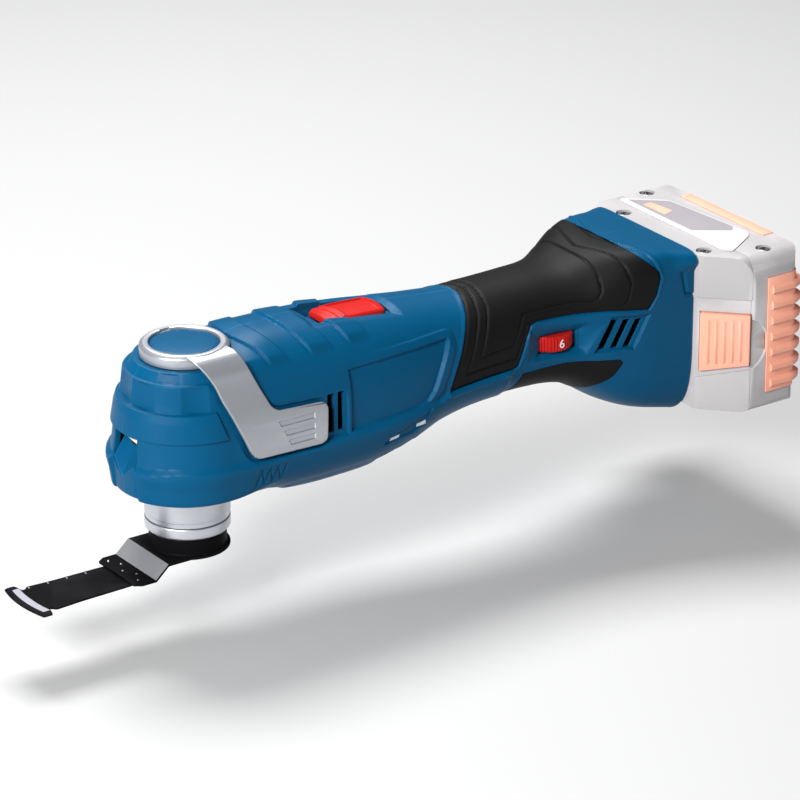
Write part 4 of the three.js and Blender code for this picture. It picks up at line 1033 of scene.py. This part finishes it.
# ---------- slide switch ----------
def build_slider():
    """Thumb button: steep sides, nearly flat top with a dished field behind a raised wave."""
    front, rear, half, low, corner = 67.2, 97.0, 8.7, 76.9, 2.4
    side_line = [(front, 78.4), (67.8, 79.4), (69.4, 80.1), (73.8, 80.5), (76.0, 80.9), (84, 80.6),
                 (95.0, 79.9), (96.4, 79.4), (rear, 78.3)]
    xs = np.concatenate([
        np.linspace(front, 68.4, 5), np.linspace(68.7, 95.5, 70), np.linspace(95.8, rear, 5)])
    ys = np.concatenate([np.linspace(-half, -7.6, 5), np.linspace(-7.4, 7.4, 36), np.linspace(7.6, half, 5)])
    out = np.abs(ys)
    wave = 75.4 - 1.1 * np.sin(ys / half * 1.6)
    crown = 1.3 * (out / half) ** 2 + 0.6 * np.maximum(0, out - 7.7) ** 2
    rings = []
    for x, top in zip(xs, np.interp(xs, [a for a, _ in side_line], [b for _, b in side_line])):
        field = smooth(7.5, 7.0, out) * smooth(wave, wave + 0.7, x) * smooth(94.8, 94.2, x)
        lip = 0.45 * np.exp(-((x - wave + 0.9) / 0.8) ** 2) + 0.3 * np.exp(-((x - wave + 4.2) / 0.7) ** 2)
        zs = top - crown - 0.95 * field + lip * (out < 7.9)
        # rounded corners seen from above
        near_end = max(0.0, corner - min(x - front, rear - x))
        squeeze = 1 - (corner - math.sqrt(max(corner ** 2 - near_end ** 2, 0))) / half
        rings.append([(x, y * squeeze, z) for y, z in [(-half, low), *zip(ys, zs), (half, low)]])
    ob = solid("slider", rings)
    boolean(ob, [box("stem", 76, 84, -2.6, 2.6, 71.2, 77.4)], "UNION")
    return finish_piece(ob, RED, "switch", ["power_switch"], 30)


def build_pocket_floor():
    """Tray under the slide switch, with a slot for its stem."""
    x0, x1, y0, y1 = POCKET
    tray = prism("pocket_floor", [
        (56.6, 74.8), (99, 74.8), (99, 76), (90, 77.2), (82, 78.2), (70, 79.2), (56.6, 79.6)], "y", -11, 11)
    boolean(tray, [upright(rounded(x0 - 0.1, x1 + 0.1, y0 - 0.1, y1 + 0.1, 2.3, 5), 76.4, 90),
                   box("slot", 66.8, 86, -3.2, 3.2, 74, 78)])
    return finish_piece(tray, BLUE, "tool_body", angle=30)


build_slider()
build_pocket_floor()


# ---------- speed dial ----------
def build_dial():
    """Grooved wheel on a stem, with a plain spot for the numeral."""
    grooves, steps = 48, 6
    n = grooves * steps
    profile = [(0.2, 0), (10.0, 0), (10.8, 0.5), (11.0, 1.0), (11.0, 6.0), (10.8, 6.5), (10.0, 7.0),
               (0.2, 7.0)]
    rings = []
    for r, dz in profile:
        wheel = []
        for k in range(n):
            a = 2 * math.pi * k / n
            plain = abs((a + 1.5 * math.pi) % (2 * math.pi) - math.pi) < 0.13
            cut = 0.15 if plain else 0.55 * (k % steps in (2, 3, 4))
            rr = r - cut * (r > 10.4)
            wheel.append((DIAL[0] + rr * math.cos(a), DIAL[1] + rr * math.sin(a), DIAL_Z + dz))
        rings.append(wheel)
    ob = solid("dial_wheel", rings)
    stem = [(0, 42.6), (2.4, 42.6), (2.4, DIAL_Z + 0.4), (0, DIAL_Z + 0.4)]
    boolean(ob, [turned("stem", stem, 32, "z", (*DIAL, 0))], "UNION")
    return finish_piece(ob, RED, "dial", ["speed_dial"], 28)


def build_digit():
    """Numeral on the wheel's rim."""
    bpy.ops.object.text_add(location=(0, 0, 0))
    digit = bpy.context.object
    digit.data.body = "6"
    digit.data.size = 5.6 * MM
    digit.data.extrude = 0.08 * MM
    digit.data.align_x = "CENTER"
    digit.data.align_y = "CENTER"
    digit.rotation_euler = (math.pi / 2, 0, 0)
    digit.location = (DIAL[0] * MM, (DIAL[1] - 10.9) * MM, (DIAL_Z + 3.5) * MM)
    bpy.ops.object.convert(target="MESH")
    digit = bpy.context.object
    digit.name = "dial_digit"
    return finish_piece(digit, WHITE, "dial", angle=40)


build_dial()
build_digit()

# ---------- lamp recess ----------
LENS_FRONT, LENS_BACK, LENS_TOP = -29.1, -26, 48.8
lens = solid("lamp_window", [
    [(LENS_FRONT, y, LENS_TOP - h), (LENS_BACK, y, LENS_TOP - h),
     (LENS_BACK, y, LENS_TOP), (LENS_FRONT, y, LENS_TOP)]
    for y, h in ((-8, 2.0), (-4, 1.5), (0, 0.8), (8, 0.5))])
bevel(lens, 0.4, 3, 30)
finish_piece(lens, LENS, "tool_body", ["lamp_lens"])


def build_chute():
    """Two faces under the lamp that meet in a valley along the middle."""
    half, nose = 8.1, 31.6
    y, t = np.linspace(-half, half, 25)[None, :], np.linspace(0, 1, 14)[:, None]
    front = -np.sqrt(nose ** 2 - y * y)
    sill = 30.0 + 6.6 * np.abs(y) / half
    top = np.stack(np.broadcast_arrays(front + (-23.6 - front) * t, y, sill + (46.4 - sill) * t), -1)
    return finish_piece(thick_grid("lamp_chute", top, top + np.array([2.4, 0, -1.8]), 1),
                        BLUE, "tool_body", angle=25)


build_chute()

# ---------- badge bars ----------
BADGE_BAR = [(0, 0), (4.9, 0.5), (4.9, 2.1), (0, 1.6)]


def flank_bar(name, points, height=0.16, sunk=0.04):
    """Printed mark on the near flank from an (x, z) outline, laid on the moulded surface."""
    rings = [[], []]
    for x, z in points:
        psi = float(np.interp(-z, -TABLE[row_at(x), :, 2], TABLE_PSI))
        s, angles = np.meshgrid([x - 0.5, x, x + 0.5], [psi - 0.01, psi, psi + 0.01], indexing="ij")
        p = surface(s, angles)
        skin = shell_shape(s, p, arc_of(s, p[..., 2]), -1)[1, 1]
        for ring_pts, rise in zip(rings, (0, height)):
            q = p[1, 1] + normals(p)[1, 1] * (skin + rise - sunk)
            ring_pts.append((q[0], -q[1], q[2]))
    return finish_piece(solid(name, rings), WHITE, "tool_body", angle=40)


for i, (x, z) in enumerate(((84.0, 27.5), (98.3, 30.4))):
    flank_bar(f"badge_bar_{i + 1}", [(x + u, z + v) for u, v in BADGE_BAR])

# ---------- battery pack ----------
PACK_NEAR, PACK_FAR, PACK_Z0, PACK_Z1 = -54.5, 45, 5.5, 78.5
PACK_X0, PACK_MID, PACK_X1, SLANT_Y = 243.6, 261, 287.5, -37.1
PACK_SCREWS = [(249.6, -33), (249, 24), (273, -45.5), (273, 38)]
BUMPER_START, BUMPER_LOW, BUMPER_HIGH = 269, 13.7, 68
KEY_RIBS = 5
BUMPER_RIBS = 7


def pack_plan(inset, rear=None):
    """Outline of the pack seen from above, moved in by a margin."""
    k, back = 0.41 * inset, inset if rear is None else rear
    return [
        (PACK_X0 + inset, SLANT_Y + k), (PACK_MID + k, PACK_NEAR + inset), (284 - k, PACK_NEAR + inset),
        (PACK_X1 - back, -50 + k), (PACK_X1 - back, 40 - k), (282.5 - k, PACK_FAR - inset),
        (264, PACK_FAR - inset), (247, 41 - inset), (PACK_X0 + inset, 36 - k)]


def pack_section(inset, near, far, n=10):
    """Outline of the pack seen from the front, with a soft shoulder at the top of each end."""
    foot = (4 - inset, 4 - inset)
    corners = [(-1, -1, foot, 180), (1, -1, foot, 270), (1, 1, far, 0), (-1, 1, near, 90)]
    out = []
    for y_side, z_side, (ry, rz), start in corners:
        y = PACK_NEAR + inset if y_side < 0 else PACK_FAR - inset
        z = PACK_Z0 + inset if z_side < 0 else PACK_Z1 - inset
        for i in range(n + 1):
            a = math.radians(start + 90 * i / n)
            out.append((y - y_side * ry + ry * math.cos(a), z - z_side * rz + rz * math.sin(a)))
    return out


def on_slant(points):
    """Points given along the slanted face and inwards from it."""
    r = math.sqrt(0.5)
    return [(PACK_X0 + (u + v) * r, SLANT_Y + (v - u) * r) for u, v in points]


def slant_solid(name, outline, v0, v1):
    """Outline of (distance along the slanted face, z), pulled inwards from v0 to v1."""
    return solid(name, [[(*on_slant([(u, v)])[0], z) for u, z in outline] for v in (v0, v1)])


def pack_block(name, x0, x1):
    """Slice of the pack's rounded case between two x."""
    ob = prism(name, pack_section(0, (7, 11), (5, 8)), "x", x0, x1)
    return boolean(ob, [upright(soften(pack_plan(0), 2.4), -2)], "INTERSECT")


def button_cutters():
    """Shallow zone of the slanted face with a rising lower edge, and the button's room in it."""
    return [slant_solid("cut", [(-4, 20.0), (26.6, 26.6), (26.6, 59), (-4, 59)], -6.0, 0.9),
            slant_solid("cut", [(0.9, 23.6), (23.9, 27.9), (23.9, 52.3), (0.9, 52.3)], -6.0, 5.7)]


def pack_screw_holes():
    return [upright(circle(3.6, 32, x, y), PACK_Z1 - 2, PACK_Z1 + 3) for x, y in PACK_SCREWS]


def rail_slots():
    """T-shaped slots that the housing's rails run in."""
    slots = []
    for z in (17, 66):
        slots.append(box("cut", PACK_X0 - 1, 247.6, -29, PACK_FAR + 2, z - 2, z + 2))
        slots.append(box("cut", 246.6, 250, -29, PACK_FAR + 2, z - 4.5, z + 4.5))
    return slots


def behind(x):
    """Cutter that leaves only what lies behind x."""
    return box("cut", 200, x, -90, 90, 0, 90)


def build_cover():
    """Front half of the pack's case, with terminal window, rail slots and button room."""
    window = box("cut", PACK_X0 - 1, 256.7, -14, PACK_FAR + 2, 27.4, 54.6)
    hollow = box("cut", 256.6, PACK_MID + 2, -36, PACK_FAR - 3, PACK_Z0 + 3, PACK_Z1 - 4)
    spring_room = upright(on_slant([(3, 4.4), (13.5, 4.4), (13.5, 8.9), (3, 8.9)]), 29.5, 45.5)
    ob = pack_block("pack_cover", PACK_X0, PACK_MID - 0.2)
    boolean(ob, [window, *rail_slots(), *button_cutters(), hollow, spring_room])
    bevel(ob, 0.6, 3, 30)
    boolean(ob, pack_screw_holes())
    return finish_piece(ob, PACK, "battery", ["battery_cover"], 35)


def build_tub():
    """Rear half of the pack's case, hollow, with seats for the bumper and its lip."""
    seat = upright(pack_plan(-8), BUMPER_LOW - 0.2, BUMPER_HIGH + 0.2)
    boolean(seat, [upright(pack_plan(1.4)), behind(BUMPER_START - 0.2)])
    inside = prism("cut", pack_section(2.6, (5, 7), (4, 6), 5), "x", PACK_MID - 2, PACK_X1)
    boolean(inside, [upright(pack_plan(2.6))], "INTERSECT")
    dish = [(0, PACK_NEAR - 2), (13, PACK_NEAR - 2), (12.4, PACK_NEAR + 1.2), (0, PACK_NEAR + 1.2)]
    ob = pack_block("pack_tub", PACK_MID, PACK_X1)
    boolean(ob, [
        inside, seat, *button_cutters(), turned("cut", dish, 64, "y", (257, 0, 38)),
        box("cut", PACK_X1 - 1.4, 310, -34.3, 25.3, 60, 90),
        box("cut", 281.7, 310, -34.3, 25.3, 77.3, 90)])
    bevel(ob, 0.6, 3, 30)
    boolean(ob, pack_screw_holes())
    return finish_piece(ob, PACK, "battery", ["battery_tub"], 35)


def build_bumper():
    """Red band round the pack's end, with a lip over its top edge."""
    band = prism("pack_bumper", soften(pack_plan(-0.6), 2.4, 5), "z", BUMPER_LOW, BUMPER_HIGH)
    boolean(band, [upright(pack_plan(1.1)), behind(BUMPER_START)])
    bevel(band, 0.4, 2, 40)
    finish_piece(band, SALMON, "battery", ["battery_bumper"], 35)
    lip = box("bumper_lip", 282, PACK_X1 + 0.6, -34, 25, 77.5, PACK_Z1 + 0.4)
    boolean(lip, [box("down", PACK_X1 - 1.1, PACK_X1 + 0.6, -34, 25, BUMPER_HIGH - 1, 78)], "UNION")
    bevel(lip, 0.3, 2, 40)
    finish_piece(lip, SALMON, "battery", angle=35)


def build_bumper_rib(i):
    """Raised rib round the pack's end, rounded above and below."""
    z = 16 + i * 7.4
    rings = []
    for rise, inset in ((-0.3, 1.1), (0.2, 0.4), (0.9, 0.0), (2.6, 0.0), (3.4, 0.5), (4.1, 1.1)):
        plan = soften(pack_plan(-2.1 + inset * 1.4, -4 + inset * 2.4), 3.4, 6)
        rings.append([(x, y, z + rise) for x, y in plan])
    rib = solid(f"bumper_rib_{i + 1}", rings)
    boolean(rib, [upright(pack_plan(0.2)), behind(BUMPER_START + 2.0)])
    return finish_piece(rib, SALMON, "battery", angle=35)


def build_key_rib(i):
    """Upright grip rib on the release button."""
    u = 4.2 + i * 3.6
    low = 26.6 + 0.16 * u
    rings = []
    for z, w, e in ((low, -0.3, 0.6), (low + 0.9, 0, 0), (48.4, 0, 0), (49.3, -0.3, 0.6)):
        u0, u1 = u - w, u + 1.6 + w
        rings.append([(x, y, z) for x, y in on_slant([
            (u0, 0.6), (u0, -1.1 + e), (u + 0.8, -1.6 + e), (u1, -1.1 + e), (u1, 0.6)])])
    return finish_piece(solid(f"key_rib_{i + 1}", rings), SALMON, "release", angle=35)


build_cover()
build_tub()
build_bumper()
for i in range(BUMPER_RIBS):
    build_bumper_rib(i)
button = slant_solid("release_key", [(1.2, 24), (23.6, 28.2), (23.6, 52), (1.2, 52)], -0.9, 3.4)
bevel(button, 0.6, 3, 30)
finish_piece(button, SALMON, "release", ["release_button"], 35)
for i in range(KEY_RIBS):
    build_key_rib(i)


# ---------- the pack's label: plate, panel and coloured block ----------
def label_layer(name, points, low, high, mat, replaces=()):
    layer = prism(name, points, "z", PACK_Z1 + low, PACK_Z1 + high)
    return finish_piece(layer, mat, "battery", replaces, 35)


PLATE = [(256.2, 36.5), (258.6, 38.2), (274.6, 24.0), (279.2, -27.5), (276, -31.5), (259.1, -41.6),
         (255.8, -38.4), (256.2, -14)]
PANEL = [(259.6, 34.6), (273.8, 22.6), (277.4, -18.4), (274.4, -22), (259.6, -11.4)]
BLOCK = [(261.4, 25.8), (265.6, 25.8), (267.2, 12.0), (261.6, 10.2)]
label_layer("pack_label", soften(PLATE, 1.2), 0.1, 0.45, LABEL, ["battery_label"])
label_layer("pack_panel", soften(PANEL, 0.8, 3), 0.45, 0.6, LABEL_DARK)
label_layer("pack_block", BLOCK, 0.6, 0.7, SALMON)


# ---------- screws with a star recess ----------
def star_screw(name, centre, axis, head, depth, body, node, r=3.0):
    """Screw head whose axis runs along z or y; centre is (x, y) or (x, z)."""
    at = (*centre, 0) if axis == "z" else (centre[0], 0, centre[1])
    ob = turned_soft(name, [(0, head - 1.2), (r, head - 1.2), (r, head - 0.3), (r * 0.7, head), (0, head)],
                     0.25, 32, axis, at)
    star = []
    for k in range(36):
        a = 2 * math.pi * k / 36
        rr = (0.52 + 0.1 * math.cos(6 * a)) * r
        star.append((centre[0] + rr * math.cos(a), centre[1] + rr * math.sin(a)))
    boolean(ob, [prism("cut", star, axis, head - depth, head + 2)])
    return finish_piece(ob, STEEL, body, [node], 35)


for i, spot in enumerate(PACK_SCREWS):
    star_screw(f"pack_screw_{i + 1}", spot, "z", PACK_Z1 - 0.4, 0.9, "battery", f"battery_screw_{i + 1}")
for i, spot in enumerate(SCREWS):
    star_screw(f"shell_screw_{i + 1}", spot, "y", 17.0, 1.0, "tool_body", f"housing_screw_{i + 1}")

# ---------- carried-over CAD nodes ----------
CARRIED = [
    (STEEL, ["lower_bearing", "upper_bearing", "front_bearing", "rear_bearing", "output_spindle",
             "drive_fork", "clamp_rod", "clamp_spring", "clamp_jaw_left", "clamp_jaw_right", "motor_shaft",
             "eccentric", "eccentric_bearing", "motor_stator", "release_spring"]),
    (ALU, ["gear_case", "motor_rotor"]),
    (BRASS, ["counterweight", "terminal_blades", "battery_clips"]),
    (COPPER, ["motor_windings"]),
    # lamp_board takes the dark plastic as painted shade: it stands for the shaded inside of the lamp's
    # mouth, not its own colour
    (DARK, ["cooling_fan", "switch_link", "micro_switch", "control_module", "lamp_board", "rail_plate",
            "terminal_block"]),
    (CELL, ["battery_cells"]),
    (BOARD, ["battery_board"]),
]
for mat, names in CARRIED:
    for name in names:
        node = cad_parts[name]
        node.data.materials.clear()
        node.data.materials.append(mat)
        edge_modifier(node, 0.15, 2, 38)

# ---------- stage, light, camera ----------
FLOOR_Z = -47.5
FLOOR_HALF = 6
scene = bpy.context.scene


def build_floor():
    """Grey floor, below the lowest point the accessory reaches when it is taken off."""
    mat = bpy.data.materials.new("floor")
    mat.use_nodes = True
    put(mat.node_tree, mat.node_tree.nodes["Principled BSDF"], {
        "Base Color": (0.47, 0.47, 0.47, 1), "Roughness": 0.9})
    bm = bmesh.new()
    bmesh.ops.create_grid(bm, x_segments=2, y_segments=2, size=FLOOR_HALF)
    mesh = bpy.data.meshes.new("floor")
    bm.to_mesh(mesh)
    bm.free()
    mesh.materials.append(mat)
    floor = bpy.data.objects.new("floor", mesh)
    floor.location = (0.1, 0, FLOOR_Z * MM)
    scene.collection.objects.link(floor)


def area_light(name, location, size, power):
    """Rectangular light turned to the middle of the tool."""
    data = bpy.data.lights.new(name, "AREA")
    data.shape = "RECTANGLE"
    data.size, data.size_y = size
    data.energy = power
    ob = bpy.data.objects.new(name, data)
    ob.location = location
    ob.rotation_euler = (MIDDLE - Vector(location)).to_track_quat("-Z", "Y").to_euler()
    scene.collection.objects.link(ob)


def build_camera(location, look, lens):
    """Long-lens camera from the front left and above, as fitted to the photograph."""
    data = bpy.data.cameras.new("camera")
    data.lens, data.sensor_width, data.clip_end = lens, 36, 20
    cam = bpy.data.objects.new("camera", data)
    cam.location = location
    cam.rotation_euler = Vector(look).to_track_quat("-Z", "Y").to_euler()
    scene.collection.objects.link(cam)
    scene.camera = cam


build_floor()
world = bpy.data.worlds.new("studio")
world.use_nodes = True
put(world.node_tree, world.node_tree.nodes["Background"], {"Color": (0.93, 0.95, 1.0, 1), "Strength": 0.14})
scene.world = world
scene.view_settings.view_transform = "Standard"
MIDDLE = Vector((0.12, 0, 0.04))
area_light("key", (-0.95, -0.55, 0.8), (0.4, 0.4), 25)
area_light("top", (0.25, 0.6, 1.2), (0.8, 0.5), 27)
area_light("fill", (0.7, -1.3, 0.5), (0.6, 0.5), 1.0)
area_light("side", (-1.2, -0.2, 0.3), (0.3, 0.5), 6)
build_camera((-0.9739, -1.5476, 0.8435), (0.52680, 0.75235, -0.39555), 213.75)

bpy.context.view_layer.update()
